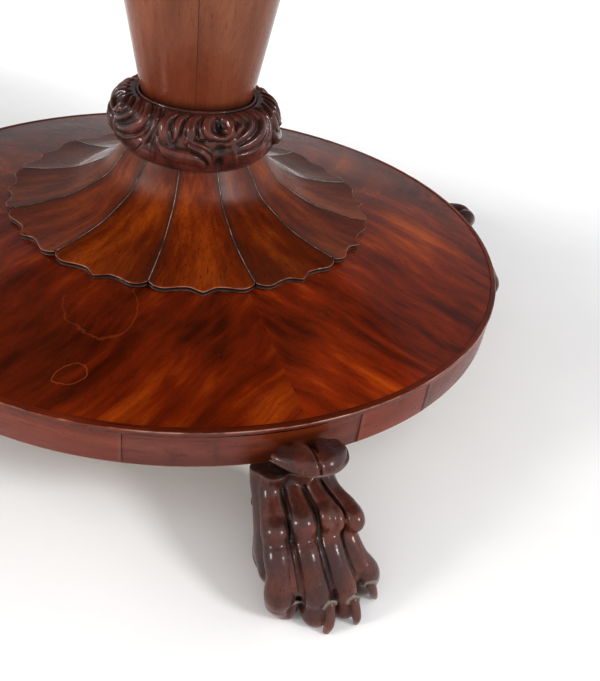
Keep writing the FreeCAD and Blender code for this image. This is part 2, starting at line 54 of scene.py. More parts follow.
class Graph:
    """One material's node tree, with short calls for the nodes used here."""

    def __init__(self, name):
        self.material = bpy.data.materials.new(name)
        self.material.use_nodes = True
        self.tree = self.material.node_tree
        self.tree.nodes.clear()
        output, self.shader = self.node("OutputMaterial"), self.node("BsdfPrincipled")
        self.tree.links.new(self.shader.outputs["BSDF"], output.inputs["Surface"])
        self.place = self.node("TexCoord").outputs["Object"]

    def node(self, kind, inputs=None, **settings):
        """A new node. inputs gives the values or links of its sockets, by name or number."""
        node = self.tree.nodes.new("ShaderNode" + kind)
        for name, value in settings.items():
            setattr(node, name, value)
        for name, value in (inputs or {}).items():
            self.put(node.inputs[name], value)
        return node

    def put(self, socket, value):
        if isinstance(value, bpy.types.NodeSocket):
            self.tree.links.new(value, socket)
        elif socket.type == "RGBA":
            socket.default_value = (*value, 1.0)
        else:
            socket.default_value = value

    def surface(self, **values):
        for name, value in values.items():
            self.put(self.shader.inputs[name.replace("_", " ")], value)

    def maths(self, operation, a, b=0.0):
        return self.node("Math", {0: a, 1: b}, operation=operation).outputs[0]

    def add(self, a, b):
        return self.maths("ADD", a, b)

    def less(self, a, b):
        return self.maths("SUBTRACT", a, b)

    def times(self, a, b):
        return self.maths("MULTIPLY", a, b)

    def away(self, a, b):
        return self.maths("ABSOLUTE", self.less(a, b))

    def hypot(self, a, b):
        return self.maths("SQRT", self.add(self.times(a, a), self.times(b, b)))

    def mix(self, factor, a, b):
        return self.node("Mix", {"Factor": factor, 6: a, 7: b}, data_type="RGBA").outputs[2]

    def ramp(self, value, stops):
        node = self.node("ValToRGB", {"Fac": value})
        elements = node.color_ramp.elements
        while len(elements) < len(stops):
            elements.new(0.5)
        for element, (place, colour) in zip(elements, stops):
            element.position = place
            element.color = (*colour, 1.0)
        return node.outputs["Color"]

    def band(self, value, low, high, start=0.0, stop=1.0):
        """Smooth step of a value between two limits."""
        inputs = dict(enumerate((value, low, high, start, stop)))
        return self.node("MapRange", inputs, interpolation_type="SMOOTHSTEP").outputs[0]

    def moved(self, source, scale):
        return self.node("Mapping", {"Vector": source, "Scale": scale}).outputs["Vector"]

    def noise(self, source, scale, detail=3.0, rough=0.5, warp=0.0):
        inputs = {"Vector": source, "Scale": scale, "Detail": detail, "Roughness": rough, "Distortion": warp}
        return self.node("TexNoise", inputs).outputs["Fac"]

    def split(self, source):
        return tuple(self.node("SeparateXYZ", {0: source}).outputs)

    def joined(self, x, y, z):
        return self.node("CombineXYZ", {0: x, 1: y, 2: z}).outputs[0]

    def attribute(self, name):
        return self.node("Attribute", attribute_name=name).outputs["Fac"]

    def bump(self, height, distance, strength=1.0, under=None):
        node = self.node("Bump", {"Strength": strength, "Distance": distance, "Height": height})
        if under is not None:
            self.put(node.inputs["Normal"], under)
        return node.outputs["Normal"]

    def polar(self):
        """Azimuth in degrees, radius and height of the object-space point."""
        x, y, z = self.split(self.place)
        return self.times(self.maths("ARCTAN2", y, x), 180 / math.pi), self.hypot(x, y), z


def scaled(colour, factor):
    return tuple(factor * channel for channel in colour)


def polish(g, colour, roughness, coat, coat_roughness, normal):
    g.surface(Base_Color=colour, Roughness=roughness, Coat_Weight=coat, Coat_Roughness=coat_roughness, IOR=1.5,
              Coat_IOR=1.5, Normal=normal, Coat_Normal=normal, Specular_IOR_Level=0.18)


def grained(g, grain, dark, middle, bright, figure=6.0, streak=26.0, pores=1.0):
    """Mahogany colour along the grain vector's X axis: soft figure, streaks and pores."""
    broad = g.noise(g.moved(grain, (0.35, 1, 1)), figure, 4, 0.55, 0.6)
    stripes = g.noise(g.moved(grain, (0.06, 1, 1)), streak * 2, 4, 0.6, 0.1)
    fine = g.noise(g.moved(grain, (0.03, 1, 1)), 320, 3, 0.6)
    value = g.add(g.times(broad, 0.62), g.times(stripes, 0.38))
    colour = g.ramp(value, [(0.33, dark), (0.5, middle), (0.66, bright)])
    colour = g.mix(g.band(fine, 0.35, 0.75, 0.0, 0.28), colour, dark)
    pore = g.noise(g.moved(grain, (0.05, 1, 1)), 620, 1, 0.4)
    pore_mask = g.band(pore, 0.63, 0.72, 0.0, 0.55 * pores)
    colour = g.mix(pore_mask, colour, scaled(dark, 0.25))
    return colour, pore_mask, value


def drift(g, place, scale, detail, amount):
    """Noise about zero that bends the grain."""
    return g.times(g.less(g.noise(place, scale, detail, 0.5), 0.5), amount)


def smudges(g, low=0.16, high=0.32):
    patch = g.noise(g.place, 9, 4, 0.6, 0.4)
    haze = g.noise(g.place, 55, 3, 0.6)
    both = g.add(g.times(patch, 0.7), g.times(haze, 0.3))
    return g.band(both, 0.35, 0.65, low, high)


def dents(g, under, distance=0.0008):
    waviness = g.noise(g.place, 14, 2, 0.5)
    scuffs = g.noise(g.place, 160, 3, 0.6)
    return g.bump(g.add(waviness, g.times(scuffs, 0.12)), distance, 1.0, under)


def pored(g, value, pore_mask, share=0.3, depth=0.0001, distance=0.0008):
    """Open pores and slight relief along the grain, over the wider dents."""
    return dents(g, g.bump(g.less(g.times(value, share), pore_mask), depth, 0.6), distance)


def flame_veneer(name, shade, twist, bow=0.35, marks=()):
    """Quartered flame mahogany: the figure fans away from each joint and is matched across it."""
    g = Graph(name)
    x, y, z = g.split(g.place)
    across, along = g.maths("ABSOLUTE", x), g.maths("ABSOLUTE", y)
    bend = drift(g, g.joined(across, along, z), 5.0, 3, 0.06)
    turn = math.radians(47.0 + twist)
    c, s = math.cos(turn), math.sin(turn)
    along_figure = g.add(g.times(across, c), g.times(along, s))
    across_figure = g.less(g.times(across, s), g.times(along, c))
    curve = g.times(g.times(along_figure, along_figure), bow)
    across_figure = g.add(g.add(across_figure, curve), bend)
    flow = g.joined(along_figure, across_figure, z)
    broad = g.noise(g.moved(flow, (0.40, 1, 1)), 10.0, 4, 0.55, 0.5)
    flames = g.noise(g.moved(flow, (0.10, 1, 1)), 60, 4, 0.62, 0.3)
    hairs = g.noise(g.moved(flow, (0.05, 1, 1)), 210, 3, 0.6)
    glow = g.noise(g.moved(flow, (1, 0.5, 1)), 7.0, 2, 0.5, 1.0)
    value = g.add(g.add(g.times(broad, 0.5), g.times(flames, 0.3)), g.times(glow, 0.2))
    dark = scaled((1.0, 0.11, 0.015), 0.065 * shade)
    middle = scaled((1.0, 0.12, 0.012), 0.20 * shade)
    bright = scaled((1.0, 0.21, 0.014), 0.46 * shade)
    colour = g.ramp(value, [(0.38, dark), (0.50, middle), (0.65, bright)])
    colour = g.mix(g.band(hairs, 0.45, 0.75, 0.0, 0.35), colour, dark)
    pore = g.noise(g.moved(flow, (0.16, 1, 1)), 900, 1, 0.4)
    pore_mask = g.band(pore, 0.68, 0.76, 0.0, 0.6)
    colour = g.mix(pore_mask, colour, (0.012, 0.004, 0.002))
    for centre, half_sizes, reach, strength in marks:
        shiver = g.times(g.less(g.noise(g.place, 60, 2, 0.6), 0.5), 0.012)
        from_x, from_y = [g.maths("DIVIDE", g.add(g.less(at, middle_at), shiver), half)
                          for at, middle_at, half in zip((x, y), centre, half_sizes)]
        off_line = g.times(g.away(g.hypot(from_x, from_y), 1.0), half_sizes[0])
        ring = g.band(off_line, 0.0003, 0.0011, strength, 0.0)
        colour = g.mix(g.times(ring, g.band(from_y, reach, reach - 0.1)), colour, (0.36, 0.10, 0.035))
    polish(g, colour, smudges(g, 0.15, 0.3), 0.55, 0.12, pored(g, flames, pore_mask, 1.0, 0.00012))
    return g.material


def plain_mahogany(name, around, dark, middle, bright):
    """Straight-grained polished mahogany, with the grain upright or, if around is set, round the table."""
    g = Graph(name)
    x, y, z = g.split(g.place)
    azimuth, radius, _ = g.polar()
    arc = g.times(azimuth, 0.3 * math.pi / 180)
    grain = g.joined(arc, radius, z) if around else g.joined(z, x, y)
    colour, pore_mask, value = grained(g, grain, dark, middle, bright)
    polish(g, colour, smudges(g, 0.18, 0.34), 0.5, 0.14, pored(g, value, pore_mask))
    return g.material


def carved_mahogany(name, dark, middle, bright, gloss):
    """Dark carved mahogany: painted shade and grime in the hollows, with dust, and high places lighter from wear."""
    g = Graph(name)
    hollow, crest = g.attribute("hollow"), g.attribute("crest")
    x, y, z = g.split(g.place)
    colour, pore_mask, _ = grained(g, g.joined(z, x, y), dark, middle, bright, 9.0)
    blotch = g.noise(g.place, 28, 3, 0.6, 0.5)
    colour = g.mix(g.band(blotch, 0.42, 0.62, 0.0, 0.7), colour, (0.040, 0.019, 0.019))
    colour = g.mix(g.times(crest, 0.22), colour, (0.22, 0.095, 0.070))
    # Painted shade: the hollow mark darkens sunk places almost to black, partly as grime.
    colour = g.mix(g.times(hollow, 0.93), colour, (0.010, 0.0065, 0.005))
    dust = g.times(g.band(g.noise(g.place, 75, 4, 0.65), 0.52, 0.68), g.times(hollow, 0.5))
    colour = g.mix(dust, colour, (0.16, 0.13, 0.10))
    # Pale horn on the claws, and a painted highlight along the leaf's rolled lip.
    colour = g.mix(g.times(g.attribute("horn_and_lip_highlight"), 0.75), colour, (0.19, 0.17, 0.135))
    roughness = g.add(smudges(g, 0.16, 0.30), g.times(hollow, 0.35))
    chisel = g.noise(g.place, 95, 2, 0.5)
    normal = g.bump(g.less(g.times(chisel, 0.8), pore_mask), 0.0003, 0.5)
    polish(g, colour, roughness, 0.5, gloss, dents(g, normal))
    return g.material


def raw_wood(name, dark, middle, bright):
    """Unpolished wood with its grain along Y."""
    g = Graph(name)
    x, y, z = g.split(g.place)
    grain = g.joined(y, x, z)
    colour, _, value = grained(g, grain, dark, middle, bright, 7.0, 34.0, 0.6)
    grime = g.noise(g.place, 12, 4, 0.6, 0.6)
    colour = g.mix(g.band(grime, 0.48, 0.72, 0.0, 0.5), colour, scaled(dark, 0.35))
    saw = g.noise(g.moved(grain, (0.4, 1, 1)), 180, 3, 0.6)
    normal = g.bump(g.add(saw, g.times(value, 1.5)), 0.0004, 0.6)
    g.surface(Base_Color=colour, Roughness=g.band(saw, 0.3, 0.7, 0.55, 0.8), Normal=normal, IOR=1.45)
    return g.material


def metal(name, base, tarnish, roughness, amount):
    g = Graph(name)
    patch = g.noise(g.place, 90, 4, 0.65, 0.4)
    brushed = g.noise(g.moved(g.place, (1, 0.1, 1)), 900, 2, 0.5)
    pits = g.noise(g.place, 700, 2, 0.6)
    mask = g.band(patch, 0.42, 0.64, 0.0, amount)
    colour = g.mix(mask, base, tarnish)
    rough = g.add(g.band(brushed, 0.3, 0.7, roughness - 0.08, roughness + 0.08), g.times(mask, 0.25))
    height = g.add(g.times(pits, 0.6), g.times(brushed, 0.4))
    g.surface(Base_Color=colour, Metallic=1.0, Roughness=rough, Normal=g.bump(height, 0.0002, 0.4))
    return g.material


# ---------------------------------------------------------------- sculpting with distance fields, in millimetres

def spline(points, steps=4):
    """Catmull-Rom curve through rows of numbers."""
    p = np.array(points, float)
    p = np.vstack([2 * p[0] - p[1], p, 2 * p[-1] - p[-2]])
    out = []
    for i in range(1, len(p) - 2):
        a, b, c, d = p[i - 1:i + 3]
        for t in np.arange(steps) / steps:
            out.append(0.5 * (2 * b + (c - a) * t + (2 * a - 5 * b + 4 * c - d) * t ** 2
                              + (3 * b - a - 3 * c + d) * t ** 3))
    out.append(p[-2])
    return np.array(out)


def smooth_min(a, b, k):
    if k <= 0:
        return np.minimum(a, b)
    h = np.clip(0.5 + 0.5 * (b - a) / k, 0, 1)
    return b + (a - b) * h - k * h * (1 - h)


CORNERS = [(i, j, k) for i in (0, 1) for j in (0, 1) for k in (0, 1)]


class Field:
    """Signed distances on a grid; negative is wood."""

    def __init__(self, low, high, step):
        self.low = np.array(low, float)
        self.step = step
        self.count = [int(math.ceil((h - l) / step)) + 1 for l, h in zip(low, high)]
        self.axes = [l + step * np.arange(n) for l, n in zip(low, self.count)]
        self.value = np.full(self.count, 1e3, np.float32)

    def empty(self):
        other = copy.copy(self)
        other.value = np.full(self.count, 1e3, np.float32)
        return other

    def window(self, low, high):
        """Slices of the grid between two corners."""
        first = np.maximum(np.floor((low - self.low) / self.step).astype(int), 0)
        last = np.minimum(np.ceil((high - self.low) / self.step).astype(int) + 1, self.count)
        return tuple(slice(a, max(a, b)) for a, b in zip(first, last))

    def coords(self, window=(slice(None),) * 3):
        """The window's three coordinates, shaped to broadcast over it."""
        return np.ix_(*[axis[part].astype(np.float32) for axis, part in zip(self.axes, window)])

    def chain_distance(self, points, margin, steps):
        p = spline(points, steps) if len(points) > 2 else np.array(points, float)
        reach = p[:, 3].max() + margin
        window = self.window(p[:, :3].min(0) - reach, p[:, :3].max(0) + reach)
        x, y, z = self.coords(window)
        distance = None
        for a, b in zip(p[:-1], p[1:]):
            e = b[:3] - a[:3]
            t = np.clip(((x - a[0]) * e[0] + (y - a[1]) * e[1] + (z - a[2]) * e[2]) / max(e @ e, 1e-9), 0, 1)
            q = np.sqrt((x - a[0] - t * e[0]) ** 2 + (y - a[1] - t * e[1]) ** 2 + (z - a[2] - t * e[2]) ** 2)
            q = q - (a[3] + t * (b[3] - a[3]))
            distance = q if distance is None else np.minimum(distance, q)
        return window, distance

    def ball_distance(self, centre, size, margin):
        c, s = np.array(centre, float), np.array(size, float)
        window = self.window(c - s - margin, c + s + margin)
        x, y, z = self.coords(window)
        q = np.sqrt(((x - c[0]) / s[0]) ** 2 + ((y - c[1]) / s[1]) ** 2 + ((z - c[2]) / s[2]) ** 2)
        g = np.sqrt(((x - c[0]) / s[0] ** 2) ** 2 + ((y - c[1]) / s[1] ** 2) ** 2 + ((z - c[2]) / s[2] ** 2) ** 2)
        return window, q * (q - 1) / np.maximum(g, 1e-6)

    def add(self, window, distance, k):
        self.value[window] = smooth_min(self.value[window], distance, k)

    def carve(self, window, distance, k):
        self.value[window] = -smooth_min(-self.value[window], distance, k)

    def add_chain(self, points, k, steps=4):
        self.add(*self.chain_distance(points, 4 + 2 * k, steps), k)

    def cut_chain(self, points, k, steps):
        self.carve(*self.chain_distance(points, 4 + 2 * k, steps), k)

    def add_ball(self, centre, size, k):
        self.add(*self.ball_distance(centre, size, 4 + 2 * k), k)

    def cut_ball(self, centre, size, k):
        self.carve(*self.ball_distance(centre, size, 4 + 2 * k), k)

    def sample(self, values, points):
        """Trilinear values at points."""
        q = (points - self.low) / self.step
        base = np.clip(np.floor(q).astype(int), 0, np.array(self.count) - 2)
        t = np.clip(q - base, 0, 1)
        total = np.zeros(len(points))
        for corner in CORNERS:
            o = np.array(corner)
            weight = np.prod(np.where(o, t, 1 - t), axis=1)
            total += weight * values[tuple((base + o).T)]
        return total

    def surface(self):
        """Surface nets: one point per crossed cell, one quad per crossed grid edge."""
        v = self.value
        inside = v < 0
        full = sum(inside[i:i + v.shape[0] - 1, j:j + v.shape[1] - 1, k:k + v.shape[2] - 1].astype(np.int8)
                   for i, j, k in CORNERS)
        cells = np.argwhere((full > 0) & (full < 8))
        number = np.full(np.array(v.shape) - 1, -1, np.int32)
        number[tuple(cells.T)] = np.arange(len(cells))
        total, hits, quads = np.zeros((len(cells), 3)), np.zeros(len(cells)), []
        units = np.eye(3, dtype=int)
        for axis, unit in enumerate(units):
            for corner in CORNERS:
                if corner[axis]:
                    continue
                start = cells + corner
                va, vb = (v[tuple(at.T)].astype(float) for at in (start, start + unit))
                crossed = (va < 0) != (vb < 0)
                t = np.where(crossed, va / np.where(crossed, va - vb, 1), 0)
                total += (start + t[:, None] * unit) * crossed[:, None]
                hits += crossed
        for axis in range(3):
            a1, a2 = (axis + 1) % 3, (axis + 2) % 3
            low_side, high_side = [slice(None)] * 3, [slice(None)] * 3
            low_side[axis], high_side[axis] = slice(0, -1), slice(1, None)
            at = np.argwhere(inside[tuple(low_side)] != inside[tuple(high_side)])
            at = at[np.all([(at[:, a] > 0) & (at[:, a] < v.shape[a] - 1) for a in (a1, a2)], axis=0)]
            u1, u2 = units[a1], units[a2]
            ring = np.stack([number[tuple((at - back).T)] for back in (0 * u1, u1, u1 + u2, u2)], 1)
            outward = ~inside[tuple(at.T)]
            ring[outward] = ring[outward][:, ::-1]
            quads.append(ring)
        return self.low + self.step * total / hits[:, None], np.vstack(quads)

    def density(self, radius):
        """Share of wood around each grid point, for finding hollows and crests."""
        d = np.clip(0.5 - self.value / self.step, 0, 1).astype(np.float32)
        n = max(int(round(radius / self.step)), 1)
        for axis in range(3):
            for _ in range(2):
                padded = np.concatenate([np.repeat(d.take([0], axis), n + 1, axis), d,
                                         np.repeat(d.take([-1], axis), n, axis)], axis)
                running = np.cumsum(padded, axis=axis, dtype=np.float64)
                near = np.arange(d.shape[axis])
                inside = running.take(near + 2 * n + 1, axis) - running.take(near, axis)
                d = (inside / (2 * n + 1)).astype(np.float32)
        return d


def step_between(value, low, high):
    t = np.clip((value - low) / (high - low), 0, 1)
    return t * t * (3 - 2 * t)


def make_object(name, points, faces, material, attributes=None, smooth=True):
    """Mesh object from points in metres; faces is a quad array or a list of index lists."""
    mesh = bpy.data.meshes.new(name)
    mesh.from_pydata([tuple(p) for p in points], [], [tuple(int(i) for i in f) for f in faces])
    mesh.update()
    for attribute, values in (attributes or {}).items():
        layer = mesh.attributes.new(attribute, "FLOAT", "POINT")
        layer.data.foreach_set("value", np.asarray(values, np.float32))
    if smooth:
        mesh.polygons.foreach_set("use_smooth", [True] * len(mesh.polygons))
    obj = bpy.data.objects.new(name, mesh)
    bpy.context.scene.collection.objects.link(obj)
    obj.data.materials.append(material)
    return obj


def settle(obj, body, slot, *nodes):
    """Put a piece on the body that it rides on and hide the nodes that it stands for; the slot is not used."""
    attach(obj, body)
    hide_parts(*nodes)


def around_z(r, angle, z):
    return np.stack([r * np.cos(angle), r * np.sin(angle), z], -1)


def turned_about_z(points, degrees):
    a = math.radians(degrees)
    c, s = math.cos(a), math.sin(a)
    out = np.array(points, float)
    out[:, 0], out[:, 1] = points[:, 0] * c - points[:, 1] * s, points[:, 0] * s + points[:, 1] * c
    return out


def carved_piece(field, spread):
    """Points in metres, quads, and the hollow and crest attributes of a sculpted field."""
    points, quads = field.surface()
    density = field.sample(field.density(spread), points)
    # The hollow mark, which the material darkens as painted shade and grime, and the crest mark.
    hollow = step_between(density, 0.55, 0.74)
    crest = step_between(density, 0.44, 0.30)
    return points * MM, quads, {"hollow": hollow, "crest": crest}


# ---------------------------------------------------------------- paw feet
# A foot points along +X here: (outwards, sideways, up) and a radius, in millimetres.

# Centre line of each toe from the top of the leg, over the knuckle, to the tip
TOES = [
    [(405, -37, 122, 11), (411, -37, 104, 11), (421.5, -39, 93.5, 11), (441, -42.5, 82.5, 12.5),
     (453.5, -44.5, 71.5, 11.5), (466, -46, 63.5, 13), (477, -47, 50, 12), (483, -47, 36, 15),
     (483.5, -46.5, 24, 14)],
    [(405, -17, 122, 10.5), (411, -17, 103, 10), (425.5, -18, 93.5, 11), (447, -18, 85.5, 14),
     (459.5, -19, 71.5, 12.5), (471, -19, 63.5, 13.8), (483, -17, 51, 12.6), (491, -15, 36, 15),
     (492.5, -12.5, 24, 13.5)],
    [(405, 1, 122, 10.5), (411, 3, 103, 10), (426.5, 4, 93.5, 11), (449, 8.5, 86.5, 13), (459.5, 7, 71.5, 12.5),
     (471, 6, 62.5, 13.2), (483, 9, 50, 12.4), (491, 13, 34, 14.6), (492.5, 16.5, 21, 13)],
    [(405, 16, 122, 10), (412, 17, 103, 10), (428.5, 21.5, 91.5, 10.5), (450, 30.5, 83.5, 12),
     (456.5, 26.5, 71.5, 10.5), (466, 27, 61.5, 11.6), (476, 33, 48, 11.8), (483, 41, 34, 14),
     (482.5, 46.5, 22, 12.5)]]
KNUCKLES = [
    [((449.5, -43.5, 80), (14, 13, 13.5))],
    [((451.5, -18.5, 85), (15.5, 14.5, 16))],
    [((453.5, 2.5, 90), (13, 8.5, 12)), ((454.5, 14.5, 86), (13, 8, 12))],
    [((457.5, 31.5, 83), (14, 11.5, 13))]]
PADS = [
    [((464, -38, 21), (26, 13, 21)), ((482, -40, 12), (14, 13, 13))],
    [((474, -14, 20), (28, 14, 20)), ((498.5, -15, 12), (14, 13, 13))],
    [((476, 14, 19), (28, 14, 19)), ((498.5, 15, 11), (13.5, 12.5, 12))],
    [((466, 40, 17), (26, 13.5, 17)), ((480, 44, 10), (12.5, 12.5, 11))]]
CLAWS = [
    [(491, -36, 25, 5.4), (492.5, -37.5, 18, 5.2), (492.5, -38.5, 11, 4.6), (490.5, -39, 5, 3.4)],
    [(505, -5, 28, 5.4), (511, -6, 21, 5.4), (515, -7.5, 12, 4.8), (515, -9, 4, 3.6)],
    [(505.5, 19.5, 26, 5.4), (511, 20.5, 19, 5.2), (515, 21.5, 11, 4.4), (515.5, 22, 3.6, 2.8)],
    [(494, 42, 28, 5.4), (496, 45.5, 20, 5), (496.5, 49, 11, 4.2), (496, 52, 4, 2.8)]]
LEG = [
    ([(401, -47.5, 125, 8), (402, -45.5, 100, 8), (407, -41.5, 75, 9), (423, -42, 45, 10), (427, -42, 18, 10),
      (434, -37, 4, 9)], 3),
    ([(407, -34, 125, 15), (409, -34, 95, 14), (420, -36, 70, 15), (436, -36, 45, 17), (446, -36, 20, 17)], 5),
    ([(405, -8, 125, 17), (409, -8, 95, 16), (424, -8, 72, 18), (442, -6, 45, 21), (450, -6, 18, 20)], 6),
    ([(404, 18, 125, 15), (408, 18, 95, 14), (426, 24, 70, 17), (440, 28, 45, 19), (448, 30, 18, 20)], 6)]
HEELS = [((438, -42, 38), (18, 12, 22)), ((440, 40, 28), (18, 13, 22))]
RIM_UNDERSIDE = 118.0
# How softly each part runs into the others, in millimetres
HEEL_BLEND = 6
PAD_BLEND = 7
KNUCKLE_BLEND = 4
TOE_BLEND = 2.0
# The web between two toes: its depth below their middle line, and how many points it stops short of the tips
WEB_DEPTH = 4.6
WEB_END = -5
# The groove over the web: its radius, where it starts, and how far it stands above the web
GROOVE_R = 2.8
GROOVE_START = 5
GROOVE_LIFT = 0.4
# The socket round a claw's root: how far down and out from the root, and its half sizes less the claw's own radius
SOCKET_SHIFT = (4, 8)
SOCKET_SIZE = (8, 2.2, 10)


def between_toes(first, second):
    """Middle line between two toes, with its outward direction seen from the side."""
    a, b = spline(first), spline(second)
    middle = (a + b) / 2
    along_u, along_z = np.gradient(middle[:, 0]), np.gradient(middle[:, 2])
    size = np.hypot(along_u, along_z)
    return middle, -along_z / size, along_u / size


def paw_fields():
    field = Field((386, -62, -4), (524, 66, 123), 1.35)
    for chain, k in LEG:
        field.add_chain(chain, k)
    for centre, size in HEELS:
        field.add_ball(centre, size, HEEL_BLEND)
    webs = [between_toes(first, second) for first, second in zip(TOES, TOES[1:])]
    for middle, out_u, out_z in webs:
        web = middle.copy()
        web[:, 0] -= WEB_DEPTH * out_u
        web[:, 2] -= WEB_DEPTH * out_z
        field.add_chain(web[:WEB_END:2], 2, 1)
    for toe, knuckles, pads in zip(TOES, KNUCKLES, PADS):
        part = field.empty()
        part.add_chain(toe, 0)
        for centre, size in pads:
            part.add_ball(centre, size, PAD_BLEND)
        for centre, size in knuckles:
            part.add_ball(centre, size, KNUCKLE_BLEND)
        field.value = smooth_min(field.value, part.value, TOE_BLEND)
    for middle, out_u, out_z in webs:
        groove = middle[GROOVE_START:].copy()
        lift = groove[:, 3] - WEB_DEPTH + GROOVE_LIFT
        groove[:, 0] += lift * out_u[GROOVE_START:]
        groove[:, 2] += lift * out_z[GROOVE_START:]
        groove[:, 3] = GROOVE_R * step_between(np.arange(len(groove)), -1.5, 3.0)
        field.cut_chain(groove, 1.4, 1)
    cuticles = field.empty()
    for claw in CLAWS:
        root, lower = np.array(claw[0][:3], float), np.array(claw[2][:3], float)
        down = (lower - root) / np.linalg.norm(lower - root)
        side = np.array([0.0, 1.0, 0.0])
        front = np.cross(side, down)
        front *= math.copysign(1.0, front[0])
        radius = claw[0][3]
        socket = root + SOCKET_SHIFT[0] * down + SOCKET_SHIFT[1] * front
        field.cut_ball(socket, (SOCKET_SIZE[0], radius + SOCKET_SIZE[1], SOCKET_SIZE[2]), 1.2)
        field.add_chain(claw, 0.6)
        arc = [(*(root + (radius + 1.1) * (math.sin(t) * side - 0.8 * math.cos(t) * down)
                  + radius * (0.25 + 0.5 * math.cos(t)) * front), 1.2) for t in np.radians(np.arange(-100, 101, 20))]
        field.add_chain(arc, 0.8, 1)
        cuticles.add_chain(arc, 0, 1)
    up = field.coords()[2]
    field.value = np.maximum(np.maximum(field.value, -up), up - RIM_UNDERSIDE)
    return field, cuticles


LOBES = [
    # the left lobe's rolled front and its filling, then the right lobe's
    [([(413.5, -38.5, 141, 3), (418.5, -33.5, 140.5, 5.5), (425.5, -25.5, 140, 7.5), (432.5, -16.5, 139.5, 8.5),
       (434.5, -7.5, 139, 9)], 0),
     ([(411.5, -27.5, 142, 6.5), (419.5, -22.5, 142, 8.5), (427.5, -15.5, 141.5, 9.5)], 5),
     ([(411.5, -13.5, 142.5, 7.5), (423.5, -10.5, 142.5, 9), (432.5, -7.5, 140, 9)], 5)],
    [([(413.5, 24, 138.5, 6.5), (422.5, 23.5, 138.5, 8), (430.5, 16.5, 139, 9), (435, 7.5, 139, 9),
       (435, 1.5, 139, 9)], 0),
     ([(411.5, 10.5, 139.5, 8), (421.5, 9.5, 140, 9.5), (428.5, 6.5, 139.5, 10)], 9)]]
LEAF_LIP = [(413.5, -42, 137.5, 0.8), (418, -37.5, 136.5, 1.1), (423.5, -33, 136, 1.2), (433, -25, 136.5, 1.3),
            (440, -15.5, 136, 1.3), (443.5, -4.5, 136, 1.3), (444, 6.5, 136, 1.3), (440.5, 18.5, 136.5, 1.3),
            (433, 28.5, 137, 1.2), (421.5, 33.5, 136.5, 1.1), (412.5, 33.5, 137.5, 0.8)]
# The fold between the lobes: its sideways place on top, and how far it wanders for each millimetre down
FOLD_TOP_V = -5.3
FOLD_TOP_Z = 150.5
FOLD_DRIFT = 0.16
FOLD_DEPTH = 1.9
FOLD_ROLL = 0.9
LEAF_UNDERSIDE = 137.5
# The leaf's back follows the rim, and its foot sinks a little into the paw
LEAF_BACK_R = 399.4
LEAF_FOOT = 117.4
# The cushion that carries the leaf on the leg: its centre and half sizes
CUSHION = ((403, -4, 136), (36, 27, 19))
# Its upper side slopes down from the leaf's front edge to the rim
CUSHION_FRONT = 440.0
CUSHION_SLOPE = 0.25


def leaf_fields():
    field = Field((398, -54, 115), (450, 46, 158), 0.9)
    for lobe in LOBES:
        part = field.empty()
        for chain, k in lobe:
            part.add_chain(chain, k)
        field.value = smooth_min(field.value, part.value, 0.8)
    x, y, up = field.coords()
    from_fold = y - FOLD_TOP_V - FOLD_DRIFT * (FOLD_TOP_Z - up)
    crease = FOLD_DEPTH * np.exp(-(from_fold / 1.1) ** 2)
    roll = FOLD_ROLL * np.exp(-((from_fold - 2.2) / 1.2) ** 2)
    field.value = field.value + crease - roll
    field.value = np.maximum(field.value, LEAF_UNDERSIDE - up)
    cushion = field.empty()
    cushion.add_ball(*CUSHION, 0)
    slant = up - LEAF_UNDERSIDE - CUSHION_SLOPE * (x - CUSHION_FRONT)
    field.value = np.minimum(field.value, np.maximum(cushion.value, slant))
    field.add_chain(LEAF_LIP, 0.9)
    lip = field.empty()
    lip.add_chain(LEAF_LIP, 0)
    field.value = np.maximum(field.value, LEAF_BACK_R - np.sqrt(x * x + y * y))
    field.value = np.maximum(field.value, LEAF_FOOT - up)
    return field, lip


carved_foot = carved_mahogany("carved_foot", (0.034, 0.010, 0.007), (0.100, 0.028, 0.018), (0.180, 0.056, 0.033),
                              0.20)
carved_turned = carved_mahogany("carved_collar", (0.050, 0.014, 0.010), (0.165, 0.045, 0.030), (0.30, 0.094, 0.060),
                                0.13)


def make_feet():
    paw, cuticle = paw_fields()
    paw_points, paw_quads, paw_marks = carved_piece(paw, 3.4)
    paw_marks["horn_and_lip_highlight"] = step_between(cuticle.sample(cuticle.value, paw_points / MM), 1.2, 0.2)
    # Painted shadow of the rim on the top of the paw just under it, added to the hollow mark.
    painted_rim_shadow = 0.5 * step_between(paw_points[:, 2] / MM, 116.4, 117.9)
    paw_marks["hollow"] = np.maximum(paw_marks["hollow"], painted_rim_shadow)
    leaf, lip = leaf_fields()
    leaf_points, leaf_quads, leaf_marks = carved_piece(leaf, 2.4)
    # Painted highlight: a pale line along the leaf's rolled lip, carried in the horn mark.
    leaf_marks["horn_and_lip_highlight"] = 0.4 * step_between(lip.sample(lip.value, leaf_points / MM), 1.0, 0.2)
    for number, angle in FEET.items():
        for name, node, points, quads, marks in (("paw", "paw_foot", paw_points, paw_quads, paw_marks),
                                                 ("leaf", "foot_leaf", leaf_points, leaf_quads, leaf_marks)):
            piece = make_object("%s_%d" % (name, number), turned_about_z(points, angle), quads, carved_foot, marks)
            settle(piece, "pedestal", "carved_mahogany", "%s_%d" % (node, number))


make_feet()


# ---------------------------------------------------------------- platform rim and lip

# The veneer round the rim: its radii and upper edge, half of the gap at a joint and the spacing of its points, in
# degrees, and the joints' azimuths
RIM_BACK_R = 397.5
RIM_R = 399.7
RIM_TOP = 154.9
RIM_GAP = 0.035
RIM_STEP = 0.75
RIM_JOINTS = [-161.0, -114.5, -81.5, -68.0, -21.0, 26.0, 72.0, 117.0, 158.0]
# How warm each length of veneer is, from 0 to 1
RIM_SHADES = [0.45, 0.32, 0.56, 0.42, 0.62, 0.45, 0.8, 0.4, 0.7]
# The middle of the brightest stretch of rim veneer, and how far it reaches to either side, in degrees
WARM_AZIMUTH = -91.5
WARM_REACH = 7.0


